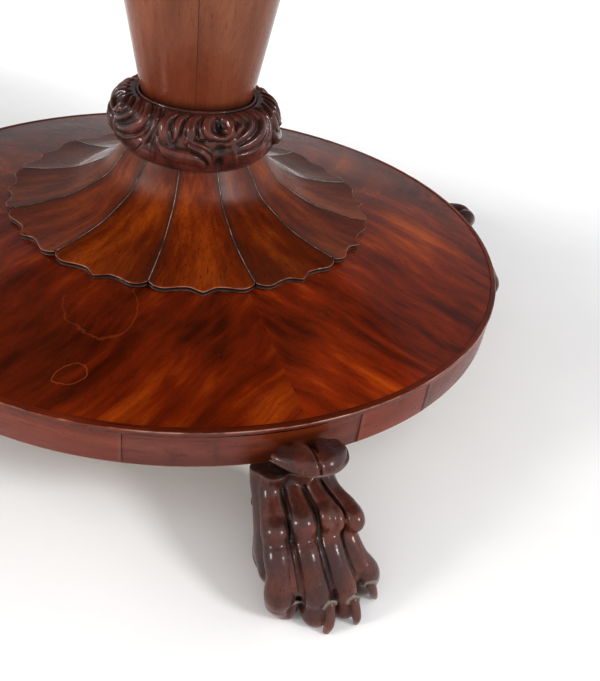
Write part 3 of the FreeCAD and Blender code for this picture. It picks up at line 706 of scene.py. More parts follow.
def wobble(angle, seed, amount, waves=(3, 7, 19, 41)):
    """Smooth periodic unevenness around the table."""
    random = np.random.RandomState(seed)
    total = np.zeros_like(angle)
    for wave in waves:
        total += random.uniform(0.5, 1) * np.sin(wave * angle + random.uniform(0, 2 * math.pi)) / math.sqrt(wave)
    return amount * total


def strip_faces(rings, count, closed=False, flip=False):
    """Quads between neighbouring rings of points, and round the last one to the first if closed."""
    faces = []
    for i in range(rings if closed else rings - 1):
        a, b = i * count, (i + 1) % rings * count
        for j in range(count):
            k = (j + 1) % count
            faces.append((a + j, b + j, b + k, a + k) if flip else (a + j, a + k, b + k, b + j))
    return faces


def end_caps(rings, count):
    return [tuple(range(count))[::-1], tuple(range((rings - 1) * count, rings * count))]


def shifted(faces, by):
    return [tuple(i + by for i in face) for face in faces]


def revolved(section, angles, closed=True, uneven=None):
    """Strip mesh around Z: section is a closed list of (radius, height) in millimetres."""
    section = np.array(section, float)
    rings = [section if uneven is None else section + uneven(angle) for angle in angles]
    points = np.vstack([around_z(ring[:, 0], angle, ring[:, 1]) for ring, angle in zip(rings, angles)]) * MM
    count = len(section)
    faces = strip_faces(len(angles), count, closed, True)
    return points, faces if closed else faces + end_caps(len(angles), count)


def rounded_section(corners, radii, steps=4):
    """Closed (radius, height) outline with its corners rounded, anticlockwise."""
    out = []
    for p, before, after, radius in zip(*[np.array(c, float) for c in (corners, corners[-1:] + corners[:-1],
                                                                       corners[1:] + corners[:1])], radii):
        lengths = np.linalg.norm(before - p), np.linalg.norm(after - p)
        radius = min(radius, 0.45 * lengths[0], 0.45 * lengths[1])
        a, b = p + (before - p) / lengths[0] * radius, p + (after - p) / lengths[1] * radius
        out += [(1 - t) ** 2 * a + 2 * t * (1 - t) * p + t * t * b for t in np.linspace(0, 1, steps)]
    return out


def rim_material():
    """Short lengths of veneer, each with its own colour, held in the mesh's tone attribute."""
    g = Graph("rim_veneer")
    tone = g.attribute("tone")
    azimuth, radius, height = g.polar()
    arc = g.times(azimuth, 0.4 * math.pi / 180)
    grain = g.joined(arc, height, radius)
    warm, pore_mask, value = grained(g, grain, (0.12, 0.012, 0.002), (0.26, 0.032, 0.003), (0.42, 0.07, 0.006), 9.0)
    dull = g.ramp(value, [(0.3, (0.065, 0.015, 0.011)), (0.5, (0.12, 0.032, 0.022)), (0.7, (0.20, 0.066, 0.045))])
    from_warm = g.away(azimuth, WARM_AZIMUTH)
    colour = g.mix(g.band(tone, 0.3, 0.95), dull, warm)
    glow = g.ramp(value, [(0.35, (0.045, 0.008, 0.003)), (0.5, (0.10, 0.018, 0.004)), (0.65, (0.21, 0.042, 0.006))])
    colour = g.mix(g.band(from_warm, WARM_REACH - 1.5, WARM_REACH + 1.0, 0.9, 0.0), colour, glow)
    dirt = g.noise(g.place, 22, 4, 0.65, 0.7)
    colour = g.mix(g.band(dirt, 0.52, 0.72, 0.0, 0.6), colour, (0.045, 0.015, 0.009))
    colour = g.mix(g.times(pore_mask, 0.8), colour, (0.03, 0.01, 0.006))
    low_edge = g.band(height, 0.1195, 0.1180)
    colour = g.mix(g.times(low_edge, 0.5), colour, (0.42, 0.20, 0.11))
    polish(g, colour, smudges(g, 0.24, 0.42), 0.35, 0.2, pored(g, value, pore_mask, 0.3, 0.00012))
    return g.material


def make_rim():
    points, faces, tones = [], [], []
    stops = RIM_JOINTS[1:] + [RIM_JOINTS[0] + 360.0]
    for index, (start, stop) in enumerate(zip(RIM_JOINTS, stops)):
        outer = RIM_R + 0.12 * (index * 7 % 3)
        section = rounded_section([(RIM_BACK_R, RIM_UNDERSIDE), (outer, RIM_UNDERSIDE), (outer, RIM_TOP),
                                   (RIM_BACK_R, RIM_TOP)], [0.3, 0.7, 0.5, 0.3])
        angles = np.radians(np.arange(start + RIM_GAP, stop - 0.03, RIM_STEP).tolist() + [stop - RIM_GAP])
        piece, piece_faces = revolved(section, angles, False, lambda a: np.array([wobble(np.array(a), 5, 0.10), 0.0]))
        faces += shifted(piece_faces, len(points))
        points += [tuple(p) for p in piece]
        tones += [RIM_SHADES[index]] * len(piece)
    rim = make_object("rim_veneer", points, faces, rim_material(), {"tone": tones})
    settle(rim, "pedestal", "rim_veneer", "platform_rim_veneer")


def lip_material():
    """Edging of the platform: polished like the veneer above, pale along its arris as a painted highlight broken into
    patches like wear, split along its foot.
    """
    g = Graph("lip_wear_and_highlight")
    wear_and_highlight = g.attribute("wear_and_highlight")
    azimuth, radius, height = g.polar()
    arc = g.times(azimuth, 0.4 * math.pi / 180)
    around = g.joined(arc, radius, height)
    colour, _, _ = grained(g, around, (0.060, 0.009, 0.003), (0.16, 0.024, 0.006), (0.28, 0.055, 0.012), 12.0)
    ragged = g.noise(g.moved(around, (1, 0.3, 0.3)), 130, 4, 0.7, 1.0)
    split_top = g.add(g.times(ragged, 0.0050), 0.1538)
    split = g.band(g.less(height, split_top), 0.0, 0.0005, 0.95, 0.0)
    colour = g.mix(split, colour, (0.006, 0.003, 0.0025))
    rubbing_and_highlight = g.noise(g.moved(around, (0.5, 3, 3)), 45, 4, 0.65)
    # Painted highlight along the upper arris, broken into patches like wear.
    colour = g.mix(g.times(wear_and_highlight, g.band(rubbing_and_highlight, 0.42, 0.62, 0.08, 0.85)), colour, (0.42, 0.27, 0.22))
    polish(g, colour, smudges(g, 0.16, 0.30), 0.5, 0.14, dents(g, g.bump(ragged, 0.0003, 0.5)))
    return g.material


def make_lip():
    corners = [(394.0, 155.0), (400.3, 155.0), (400.85, 157.0), (400.5, 160.6), (399.0, 161.0), (394.0, 161.9)]
    section = np.array(rounded_section(corners, [0.2, 0.5, 0.8, 0.7, 0.4, 0.2]))
    angles = np.radians(np.arange(0, 360, 0.4))
    worn_side = (section[:, 0] >= 395) & (section[:, 1] >= 155.1)

    def uneven(angle):
        a = np.array(angle)
        chip = max(0.0, math.sin(23 * angle + 2.0 * math.sin(7 * angle)) - 0.93) * 6.0
        shift = wobble(a, 11, 0.16, (5, 17, 43, 89)) - chip * 0.5, wobble(a, 12, 0.10, (4, 21, 57)) - chip * 0.25
        return worn_side[:, None] * np.array(shift)

    points, faces = revolved(section, angles, uneven=uneven)
    # The upper outer arris, where the painted highlight goes.
    edge = np.exp(-((section[:, 1] - 160.7) ** 2 + (section[:, 0] - 400.3) ** 2) / 0.45)
    lip = make_object("platform_lip_wear_and_highlight", points, faces, lip_material(), {"wear_and_highlight": np.tile(edge, len(angles))})
    settle(lip, "pedestal", "moulded_mahogany", "platform_lip")


make_rim()
make_lip()


# ---------------------------------------------------------------- petals

DOME_PROFILE = [(78, 276), (84, 267), (92, 256), (107, 237), (130, 223.5), (153, 213), (183, 206), (205, 202.6),
                (231, 200.1)]
PETAL_EDGE = [(0.0, 225.4), (1.3, 222.8), (2.6, 219.6), (4.3, 217.6), (7.2, 219.4), (9.4, 222.7), (11.2, 224.4),
              (13.0, 223.4), (14.2, 221.0), (15.0, 218.4)]
PETALS = 12
FIRST_SEAM = -88.0
# The side of the table whose petals get the strongest painted highlight along their edges
FRONT_AZIMUTH = -107.0
SEAM_HALF = 0.6
PETAL_HALF_ANGLE = 15.0
PETAL_THICKNESS = 5.8
# How far a petal reaches in under the collar, and its thickness there
COLLAR_TUCK = 5.0
TUCK_THICKNESS = 4.0
ARRIS_END_R = 216.5
# The rolled edge's section past the end of the upper face: out, down and back under
NOSE = [(0.40, -0.15), (0.70, -0.5), (0.70, -1.0), (0.3, -1.4), (-0.4, -1.9), (-0.5, -2.8), (-0.4, -4.6), (0.2, -5.5),
        (-2.0, -6.6)]
# Wax clouds the polish near the collar: full up to the first radius, gone at the second
HAZED_R = (0.098, 0.135)
PETAL_COLOURS = [(0.055, 0.0075, 0.001), (0.15, 0.023, 0.002), (0.31, 0.066, 0.004)]


PROFILE_R, PROFILE_Z = spline(DOME_PROFILE, 12).T


def dome_z(r):
    return np.interp(r, PROFILE_R, PROFILE_Z)


def edge_radius(degrees):
    mirrored = [(-a, r) for a, r in PETAL_EDGE[::-1]]
    return np.interp(degrees, *np.vstack([spline(half, 8) for half in (mirrored, PETAL_EDGE)]).T)


def petal_material(name, tone, seed, rubbing_and_highlight):
    g = Graph(name)
    azimuth, radius, height = g.polar()
    arc = g.times(azimuth, 0.2 * math.pi / 180)
    place = g.joined(g.add(radius, seed * 0.37), g.add(arc, seed * 0.11), height)
    x, y, z = g.split(place)
    place = g.joined(x, g.add(y, drift(g, place, 7, 2, 0.05)), z)
    colours = [scaled(colour, tone) for colour in PETAL_COLOURS]
    colour, pore_mask, value = grained(g, place, *colours, 11.0, 30.0)
    colour = g.mix(g.times(g.attribute("seam"), 0.75), colour, (0.045, 0.014, 0.008))
    # Painted shade: the underside of the rolled edge is darkened almost to black.
    colour = g.mix(g.attribute("under"), colour, (0.012, 0.004, 0.0025))
    # Painted highlight along the petal's edge, in patches like wear, strongest on the front petals.
    wear_and_highlight = g.band(g.noise(g.place, 45, 4, 0.6), 0.40, 0.60, 0.15 * rubbing_and_highlight, 0.8 * rubbing_and_highlight)
    colour = g.mix(g.times(g.attribute("nose_highlight"), wear_and_highlight), colour, (0.36, 0.19, 0.13))
    hazed = g.band(radius, *HAZED_R, 0.26, 0.0)
    polish(g, colour, g.add(smudges(g, 0.16, 0.30), hazed), 0.5, g.add(hazed, 0.12), pored(g, value, pore_mask))
    return g.material


def petal_column(x, along):
    """Points of one line across a petal, from the collar to the edge and back underneath, and what marks them."""
    r = PROFILE_R[0] + (float(edge_radius(x * PETAL_HALF_ANGLE)) - PROFILE_R[0]) * along
    z = dome_z(r)
    slope = np.gradient(z, r)
    normal = np.stack([-slope, np.ones_like(slope)], 1) / np.sqrt(1 + slope ** 2)[:, None]
    hollow = 0.0125 * r * (1 - x * x) * step_between(along, -0.1, 0.35)
    top = np.stack([r, z], 1) - normal * hollow[:, None]
    roll = top[-1] + np.array(NOSE)
    bottom_r = np.linspace(roll[-1][0] - 3, PROFILE_R[0] - COLLAR_TUCK, 14)
    bottom_z = np.interp(bottom_r, r, top[:, 1]) - PETAL_THICKNESS
    bottom_z[bottom_r < PROFILE_R[0] + 1] = PROFILE_Z[0] - TUCK_THICKNESS
    column = np.vstack([top, roll, np.stack([bottom_r, bottom_z], 1)])
    half = math.radians(PETAL_HALF_ANGLE)
    from_seam = (1 - abs(x)) * half * column[:, 0]
    seam = np.exp(-(from_seam / 2.2) ** 2) + 0.35 * np.exp(-(from_seam / 9.0) ** 2)
    nose_highlight, under = np.zeros(len(column)), np.zeros(len(column))
    edge = len(top)
    # Painted highlight marks: the rounded top of the edge and a line near its foot.
    nose_highlight[edge - 1:edge + 3] = (0.2, 1.0, 0.9, 0.2)
    nose_highlight[edge + 7] = 0.8
    # The under mark: the underside of the rolled edge, darkened as painted shade.
    under[edge + 3], under[edge + 4:] = 0.6, 1.0
    points = around_z(column[:, 0], x * (half - SEAM_HALF / column[:, 0]), column[:, 1])
    return points, {"seam": np.clip(seam, 0, 1), "nose_highlight": nose_highlight, "under": under}


def side_faces(column, split, start, flip):
    """Triangles between the upper and the lower edge of a petal's side, both running outwards."""
    loop = [start + j for j in range(len(column))]
    upper, lower = loop[:split], loop[split:][::-1]
    radii = np.hypot(column[:, 0], column[:, 1])
    faces = []
    a, b = 0, 0
    while a < len(upper) - 1 or b < len(lower) - 1:
        upper_next = a < len(upper) - 1 and (b == len(lower) - 1
                                             or radii[upper[a + 1] - start] <= radii[lower[b + 1] - start])
        if upper_next:
            face = (upper[a], upper[a + 1], lower[b])
            a += 1
        else:
            face = (upper[a], lower[b + 1], lower[b])
            b += 1
        faces.append(face[::-1] if flip else face)
    return faces


def petal_mesh():
    """One petal about azimuth 0: a hollowed sheet whose lobed edge rolls over and back underneath."""
    across = np.linspace(-1, 1, 61)
    across = np.sign(across) * (1 - (1 - np.abs(across)) ** 1.15)
    along = np.linspace(0, 1, 64) ** 0.9
    columns, marks = zip(*[petal_column(x, along) for x in across])
    count, last = len(columns[0]), len(columns) - 1
    split = len(along) + 5
    faces = strip_faces(len(columns), count)
    faces += side_faces(columns[0], split, 0, False) + side_faces(columns[last], split, last * count, True)
    return np.vstack(columns), faces, {key: np.concatenate([m[key] for m in marks]) for key in marks[0]}


PETAL_TONES = [0.95, 1.0, 1.12, 0.85, 0.9, 1.05, 0.92, 1.0, 0.88, 1.06, 1.0, 1.08]


def make_petals():
    points, faces, marks = petal_mesh()
    for number in range(PETALS):
        name = "petal_%02d" % (number + 1)
        angle = FIRST_SEAM + (number + 0.5) * 360.0 / PETALS
        # Front petals get more of the painted edge highlight.
        rubbing_and_highlight = 0.3 + 0.7 * step_between(math.cos(math.radians(angle - FRONT_AZIMUTH)), -0.3, 0.4)
        material = petal_material(name + "_wood", PETAL_TONES[number], number + 1, rubbing_and_highlight)
        petal = make_object(name, turned_about_z(points, angle) * MM, faces, material, marks)
        settle(petal, "pedestal", "petal_mahogany", "dome_petal_%02d" % (number + 1))


def arris_material():
    g = Graph("pale_arris")
    patch = g.noise(g.place, 60, 4, 0.65, 0.5)
    # Painted highlight: the arris runs from dark to pale in patches, as if lit in places.
    colour = g.ramp(patch, [(0.35, (0.07, 0.035, 0.026)), (0.5, (0.24, 0.145, 0.115)), (0.62, (0.46, 0.33, 0.28))])
    scratch = g.noise(g.moved(g.place, (1, 1, 3)), 400, 2, 0.5)
    polish(g, colour, g.band(patch, 0.3, 0.7, 0.35, 0.22), 0.3, 0.2, g.bump(scratch, 0.0001, 0.5))
    return g.material


def make_arrises():
    """The narrow line along each seam, a little proud of the hollows on either side, coloured pale as a painted
    highlight.
    """
    points, faces = [], []
    section = np.array([(-0.50, -2.6), (-0.50, -0.15), (-0.30, 0.14), (0.0, 0.22), (0.25, 0.10), (0.38, -0.25),
                        (0.38, -2.6)])
    r = PROFILE_R[0] + (ARRIS_END_R - PROFILE_R[0]) * np.linspace(0, 1, 90)
    z = dome_z(r)
    slope = np.gradient(z, r)
    strip = strip_faces(len(r), len(section)) + end_caps(len(r), len(section))
    for number in range(PETALS):
        angle = math.radians(FIRST_SEAM + number * 360.0 / PETALS)
        outward = np.array([math.cos(angle), math.sin(angle), 0.0])
        sideways = np.array([-math.sin(angle), math.cos(angle), 0.0])
        shift = wobble(r / 30.0, 40 + number, 0.05, (1, 3, 7))
        faces += shifted(strip, len(points))
        for i in range(len(r)):
            steep = math.sqrt(1 + slope[i] ** 2)
            up = outward * (-slope[i] / steep) + np.array([0, 0, 1 / steep])
            origin = outward * r[i] + np.array([0, 0, z[i]])
            points += [origin + sideways * (across + shift[i]) + up * height for across, height in section]
    arris = make_object("petal_arrises", np.array(points) * MM, faces, arris_material())
    settle(arris, "pedestal", "pale_arris", "dome_stringing")


make_petals()
make_arrises()


# ---------------------------------------------------------------- carved collar
# Relief over the rounded section, repeated four times: degrees around from a scroll's eye, degrees up the section,
# then half width and height in millimetres.

COLLAR_REPEATS = 4
COLLAR_ARC_MM = 1.71
COLLAR_CENTRE = (76.0, 299.5)
COLLAR_SIZE = (22.0, 32.5)
COLLAR_STEP_MM = 0.95
COLLAR_INNER_R = 70.5
COLLAR_BACK_Z = (325.0, 300.0, 272.0)
BEAD_INNER_R = 67.0
BEAD_OUTER_R = 70.4
BEAD_SIDE = 0.6
BEAD_RISE = 2.2
SWELLS = [
    # crescents of the fan, from the eye outwards
    [(4, 70, 3, 2.6), (8, 60, 3.2, 3.2), (8.5, 50, 3.2, 3.2), (5, 40, 3, 2.8)],
    [(11, 78, 3.2, 2.6), (16, 63, 3.8, 3.6), (16.5, 49, 4, 4), (12, 36, 4, 3.8), (5, 27, 3.4, 2.8)],
    [(19, 84, 3.6, 2.6), (24, 66, 4.4, 4), (24.5, 48, 4.8, 4.6), (20, 32, 4.8, 4.6), (12, 19, 4.4, 3.8),
     (4, 12, 3.6, 2.4)],
    [(31, 86, 4.4, 2.8), (35.5, 66, 5.2, 4.2), (36.5, 46, 5.8, 5), (33, 26, 6.4, 5.6), (25, 10, 6.4, 5.2),
     (14, 1, 5.2, 3.6), (4, -2, 4, 2)],
    [(43, 84, 2.6, 2.2), (45, 60, 3, 3), (45.3, 36, 3, 3.4), (42.5, 14, 3.2, 3.6), (39, -2, 3.6, 3.4)],
    # smooth leaf under the fan
    [(-2, -14, 9, 1.6), (12, -16, 12, 2.8), (28, -18, 14, 3.8), (41, -20, 11, 3.4)],
    # the pod's lobes
    [(57, 76, 5, 2.4), (53.3, 56, 6.6, 4.4), (52.3, 36, 7.4, 5.4), (54, 18, 7, 5.4), (57.5, 6, 5, 4)],
    [(66.5, 76, 3.6, 2.4), (62.3, 56, 4.6, 4.4), (61.2, 36, 4.6, 5.2), (61, 20, 3.4, 4.6), (60, 12, 2.2, 3)],
    [(75.5, 78, 4.4, 2.4), (71.6, 58, 6.2, 4.8), (70.3, 40, 6.6, 5.8), (70, 26, 5.4, 5.2), (68, 16, 3.6, 3.6)],
    [(86, 80, 3.6, 2.2), (81.8, 64, 5, 4.6), (80.5, 46, 5.4, 5.6), (82.5, 32, 5.2, 5.8), (88, 25, 4, 5),
     (92.5, 24, 3, 3.8)],
    [(94.5, 80, 3, 2.2), (97.5, 64, 4.2, 4.2), (98, 46, 4.6, 5), (96.5, 32, 4.2, 4.8), (92.5, 24, 3, 3.8)],
    # its lower roll and the curled, fluted tip
    [(48.8, 14, 3, 3), (50.5, 3, 5, 5.2), (56, -8, 7.4, 6.8), (64, -13, 8.4, 7.2), (72, -16, 8, 6.6),
     (77, -24, 6, 5.4), (79, -33, 4, 3.4)],
    [(68, 22, 2.6, 4.2), (73, 15, 3.6, 5.4), (79, 8, 3.6, 5), (83, 0, 2.6, 3.6), (84.5, -8, 1.8, 2.4)],
    [(70, 9, 2.6, 5), (76, 2, 3.6, 6), (81, -8, 3.6, 5.4), (83, -20, 2.8, 4.4), (83.5, -28, 1.8, 3.2)],
    # small lobe across the gap
    [(99, 16, 2.4, 3.4), (98.6, 4, 3.4, 5.2), (99.6, -10, 3.6, 5.2), (101, -24, 3, 3.6)]]
# Raised threads, then incised lines: half width and height of each
THREADS = [
    [(26, 80, 0.9, 0.6), (31, 62, 0.9, 1), (31, 46, 0.9, 1.2), (27, 30, 0.9, 1.2), (19, 15, 0.8, 0.8)],
    [(38, 86, 1.1, 1), (42, 64, 1.2, 1.8), (42.6, 42, 1.3, 2), (39.6, 20, 1.4, 2.2), (33.5, 5, 1.4, 2.2),
     (23, -7, 1.4, 2), (10, -12, 1.1, 1.2)],
    [(47.5, 82, 1, 0.8), (48.2, 56, 1.1, 1.4), (47.6, 30, 1.2, 1.6), (45, 8, 1.2, 1.5), (43.5, -14, 1, 1)],
    [(60.5, 66, 0.8, 0.7), (57.8, 46, 0.9, 1.2), (57.2, 28, 1, 1.5), (59, 12, 0.9, 1.3)],
    [(69.5, 72, 0.8, 0.8), (66.6, 52, 0.9, 1.2), (65.6, 36, 0.9, 1.2)],
    [(78.5, 74, 0.8, 0.8), (76, 56, 1, 1.4), (75.8, 40, 1, 1.2), (77.5, 30, 0.8, 0.8)],
    [(98.5, 80, 1, 0.8), (102, 60, 1.1, 1.4), (102, 40, 1.2, 1.6), (99, 24, 1.2, 1.5), (93, 18, 1, 1)],
    [(71, 22, 0.7, 0.6), (76, 14, 0.8, 1), (81, 6, 0.7, 0.8)],
    [(74, 6, 0.7, 0.6), (79, -3, 0.8, 1), (82, -16, 0.7, 0.8)]]
LINES = [
    [(39.5, 2, 0.9, 1.4), (36, -12, 0.9, 1.6), (30, -30, 0.8, 1.2)],
    [(49.6, 4, 0.9, 1.4), (51, -12, 1, 1.8), (54, -30, 0.9, 1.4)],
    [(58.8, 70, 0.8, 1.2), (55.6, 48, 1, 2), (55.4, 28, 1, 2.2), (58, 10, 1, 2)],
    [(68, 74, 0.9, 1.6), (64.3, 52, 1.1, 2.6), (63.4, 32, 1.2, 3), (61.5, 16, 1.1, 2.8), (59, 7, 0.9, 1.6)],
    [(77.5, 76, 0.9, 1.6), (74.2, 58, 1.1, 2.4), (73.8, 40, 1.1, 2.4), (75.5, 28, 1, 1.8)],
    [(76, 21, 0.9, 1.6), (84, 21, 1.1, 2.6), (91, 19, 1.1, 2.6), (96, 20, 0.9, 1.6)],
    [(71, -2, 0.8, 1.2), (76, -9, 0.9, 1.8), (80, -20, 0.8, 1.4)]]
# Hollows: degrees around and up, half widths in millimetres, depth
HOLLOWS = [(90, 52, 5, 8.5, 6), (90, 1, 8.5, 8, 2.6), (90, -24, 7, 8, 4)]


def collar_section():
    """Outer section of the collar from its foot, over its shoulder, in to the column: radius, height, length."""
    phi = np.radians(np.linspace(-80, 90, 200))
    r = COLLAR_CENTRE[0] + COLLAR_SIZE[0] * np.cos(phi)
    z = COLLAR_CENTRE[1] + COLLAR_SIZE[1] * np.sin(phi)
    r, z = np.append(r, [73.6, 71.8, COLLAR_INNER_R]), np.append(z, [332.0, 331.7, 330.8])
    length = np.concatenate([[0], np.cumsum(np.hypot(np.diff(r), np.diff(z)))])
    return np.degrees(phi), r, z, length


def flat_distance(points, x, y, up):
    """Distance across the flattened collar to a curve, and the curve's half width and height at the nearest place."""
    p = spline([(a * COLLAR_ARC_MM, up(phi), w, h) for a, phi, w, h in points], 5)
    best = np.full(x.shape, 1e6)
    width, height = np.ones(x.shape), np.zeros(x.shape)
    for a, b in zip(p[:-1], p[1:]):
        e = b[:2] - a[:2]
        t = np.clip(((x - a[0]) * e[0] + (y - a[1]) * e[1]) / max(e @ e, 1e-9), 0, 1)
        d = np.hypot(x - a[0] - t * e[0], y - a[1] - t * e[1])
        nearer = d < best
        best = np.where(nearer, d, best)
        width = np.where(nearer, a[2] + t * (b[2] - a[2]), width)
        height = np.where(nearer, a[3] + t * (b[3] - a[3]), height)
    return best, width, height


def collar_relief(x, y, up, period):
    """Height of the carving over the plain section."""
    relief = np.zeros(x.shape)
    shifts = (-period, 0.0, period)
    for points in SWELLS:
        for shift in shifts:
            d, width, height = flat_distance(points, x + shift, y, up)
            lobe = height * np.sqrt(np.clip(1 - (d / width) ** 2, 0, 1))
            relief = -smooth_min(-relief, -lobe, 0.7)
    for curves, sign in ((THREADS, 1.0), (LINES, -1.0)):
        for points in curves:
            for shift in shifts:
                d, width, height = flat_distance(points, x + shift, y, up)
                relief = relief + sign * height * np.exp(-(d / width) ** 2)
    for a, phi, wide, tall, depth in HOLLOWS:
        for shift in shifts:
            d = ((x + shift - a * COLLAR_ARC_MM) / wide) ** 2 + ((y - up(phi)) / tall) ** 2
            relief = relief - depth * np.exp(-d * 1.3)
    return relief


def blurred(values, radius):
    """Box blur in both directions, twice; the first direction wraps round."""
    for _ in range(2):
        values = sum(np.roll(values, i, 0) for i in range(-radius, radius + 1)) / (2 * radius + 1)
        padded = np.pad(values, ((0, 0), (radius, radius)), mode="edge")
        values = sum(padded[:, i:i + values.shape[1]] for i in range(2 * radius + 1)) / (2 * radius + 1)
    return values


def sculpt_collar():
    phi, r, z, length = collar_section()
    period = 360.0 / COLLAR_REPEATS * COLLAR_ARC_MM
    columns = int(round(period / COLLAR_STEP_MM))
    rows = int(round(length[-1] / COLLAR_STEP_MM))
    x = np.arange(columns)[:, None] * period / columns
    y = np.linspace(0, length[-1], rows)[None, :]
    relief = collar_relief(x + 0 * y, y + 0 * x, lambda degrees: np.interp(degrees, phi, length[:len(phi)]), period)
    relief = relief * step_between(y, -1, 5) * step_between(y, length[-1] - 1.5, length[-1] - 7)
    relief = np.tile(relief, (COLLAR_REPEATS, 1))
    around = np.radians(np.arange(len(relief)) * 360.0 / len(relief))
    middle_r, middle_z = np.interp(y[0], length, r), np.interp(y[0], length, z)
    out_r, out_z = np.gradient(middle_z), -np.gradient(middle_r)
    size = np.hypot(out_r, out_z)
    outer_r = middle_r + relief * out_r / size
    outer_z = middle_z + relief * out_z / size
    inner_r = np.full((len(relief), len(COLLAR_BACK_Z)), COLLAR_INNER_R)
    inner_z = np.tile(COLLAR_BACK_Z, (len(relief), 1))
    all_r, all_z = np.hstack([outer_r, inner_r]), np.hstack([outer_z, inner_z])
    points = around_z(all_r, around[:, None], all_z).reshape(-1, 3)
    count = all_r.shape[1]
    index = np.arange(len(points)).reshape(len(relief), count)
    after = np.roll(index, -1, 0)
    quads = np.stack([index, after, np.roll(after, -1, 1), np.roll(index, -1, 1)], -1).reshape(-1, 4)
    around_it = blurred(relief, 3)
    # Sunk places get the hollow mark, darkened as painted shade and grime; raised places get the crest mark.
    hollow = np.clip(step_between(around_it - relief, 0.15, 1.5) + 0.8 * step_between(relief, 0.6, -1.2), 0, 1)
    crest = step_between(relief - around_it, 0.25, 1.4)
    marks = {key: np.hstack([mark, 0 * inner_r]).ravel() for key, mark in (("hollow", hollow), ("crest", crest))}
    return points * MM, quads, marks


def make_bead():
    """Slim worn bead lying in the groove between the collar and the column."""
    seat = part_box("collar_bead")[0].z / MM
    middle, half_width = (BEAD_OUTER_R + BEAD_INNER_R) / 2, (BEAD_OUTER_R - BEAD_INNER_R) / 2
    section = [(middle + half_width * math.cos(t), seat + BEAD_SIDE + BEAD_RISE * math.sin(t))
               for t in np.linspace(0, math.pi, 13)]
    section += [(BEAD_INNER_R, seat), (BEAD_OUTER_R, seat)]
    points, faces = revolved(section, np.radians(np.arange(0, 360, 2.0)))
    bead = make_object("collar_bead_slim", points, faces, carved_turned, {"crest": np.full(len(points), 0.5)})
    settle(bead, "pedestal", "moulded_mahogany", "collar_bead")


make_bead()
points, quads, marks = sculpt_collar()
collar = make_object("carved_collar", points, quads, carved_turned, marks)
settle(collar, "pedestal", "carved_mahogany", "acanthus_collar")


# ---------------------------------------------------------------- finishes of the nodes kept from the design

# The azimuth of the column's near joint, in degrees, and the heights between which its low band and the painted shade
# at its foot fade
COLUMN_JOINT = -108.0
LOW_BAND = (0.335, 0.46)
PAINTED_FOOT_SHADE = (0.331, 0.345)


def column_material(name, shift):
    g = Graph(name)
    azimuth, radius, height = g.polar()
    arc = g.times(azimuth, 0.09 * math.pi / 180)
    bend = drift(g, g.joined(arc, radius, height), 4, 2, 0.03)
    place = g.joined(g.add(height, shift), g.add(arc, bend), radius)
    colour, pore_mask, value = grained(g, place, (0.15, 0.044, 0.022), (0.29, 0.098, 0.044), (0.44, 0.170, 0.082),
                                       9.0, 26.0, 0.7)
    joint = g.away(azimuth, COLUMN_JOINT)
    for mask, tint in ((g.band(joint, 0.16, 0.42, 0.85, 0.0), (0.035, 0.012, 0.008)),
                       (g.band(height, *LOW_BAND, 0.55, 0.0), (0.17, 0.030, 0.008)),
                       # Painted shade at the column's foot, where it meets the collar.
                       (g.band(height, *PAINTED_FOOT_SHADE, 0.75, 0.0), (0.035, 0.010, 0.006))):
        colour = g.mix(mask, colour, tint)
    polish(g, colour, smudges(g, 0.2, 0.34), 0.5, 0.16, pored(g, value, pore_mask, 0.35, distance=0.0012))
    return g.material


def finish_nodes(material, *nodes):
    for node in nodes:
        NODES[node].data.materials.clear()
        NODES[node].data.materials.append(material)


# The platform's four quarters: shade, how far the figure turns and bows, and the stains left on it, each with its
# centre, half sizes, how far up the outline goes, and strength
STAINS = [((-0.197, -0.289), (0.0155, 0.0115), 9.0, 0.42), ((-0.153, -0.200), (0.036, 0.053), 0.42, 0.24)]
PLATFORM_FIGURE = [(1.12, -3.0), (0.95, 0.0), (1.0, 3.0), (0.80, -9.0, 0.06, STAINS)]

moulded = plain_mahogany("moulded_mahogany", True, (0.035, 0.010, 0.006), (0.10, 0.028, 0.012), (0.17, 0.052, 0.020))
turned_wood = plain_mahogany("turned_mahogany", True, (0.05, 0.014, 0.008), (0.13, 0.038, 0.016), (0.22, 0.07, 0.028))
frieze_wood = plain_mahogany("frieze_mahogany", False, (0.06, 0.014, 0.007), (0.17, 0.042, 0.012),
                             (0.30, 0.085, 0.02))
pine = raw_wood("aged_pine", (0.16, 0.085, 0.038), (0.29, 0.17, 0.085), (0.40, 0.26, 0.14))
bearer_wood = raw_wood("stained_bearer", (0.045, 0.020, 0.011), (0.095, 0.045, 0.024), (0.15, 0.078, 0.042))
brass = metal("old_brass", (0.66, 0.45, 0.16), (0.16, 0.10, 0.05), 0.34, 0.7)
iron = metal("dull_iron", (0.16, 0.15, 0.145), (0.10, 0.045, 0.025), 0.52, 0.6)

for number, figure in enumerate(PLATFORM_FIGURE, 1):
    top_shade = 1.05 - 0.06 * (number % 2)
    finish_nodes(flame_veneer("platform_flame_%d" % number, *figure), "platform_veneer_%d" % number)
    finish_nodes(flame_veneer("top_flame_%d" % number, top_shade, 2.0 * number), "top_veneer_%d" % number)
    finish_nodes(bearer_wood, "foot_block_%d" % number)
finish_nodes(column_material("column_wood_1", 0.0), "column_veneer_1")
finish_nodes(column_material("column_wood_2", 0.7), "column_veneer_2")
finish_nodes(pine, "platform_core", "dome_core", "column_core", "top_core", "foot_dowels", "tenon_wedges")
finish_nodes(bearer_wood, "tilt_block", "bearer_left", "bearer_right")
finish_nodes(moulded, "top_edge_moulding", "frieze_bead")
finish_nodes(turned_wood, "column_neck")
finish_nodes(frieze_wood, "top_frieze")
finish_nodes(brass, "bolt_case", "bolt_strike", "slide_bolt", "bolt_knob")
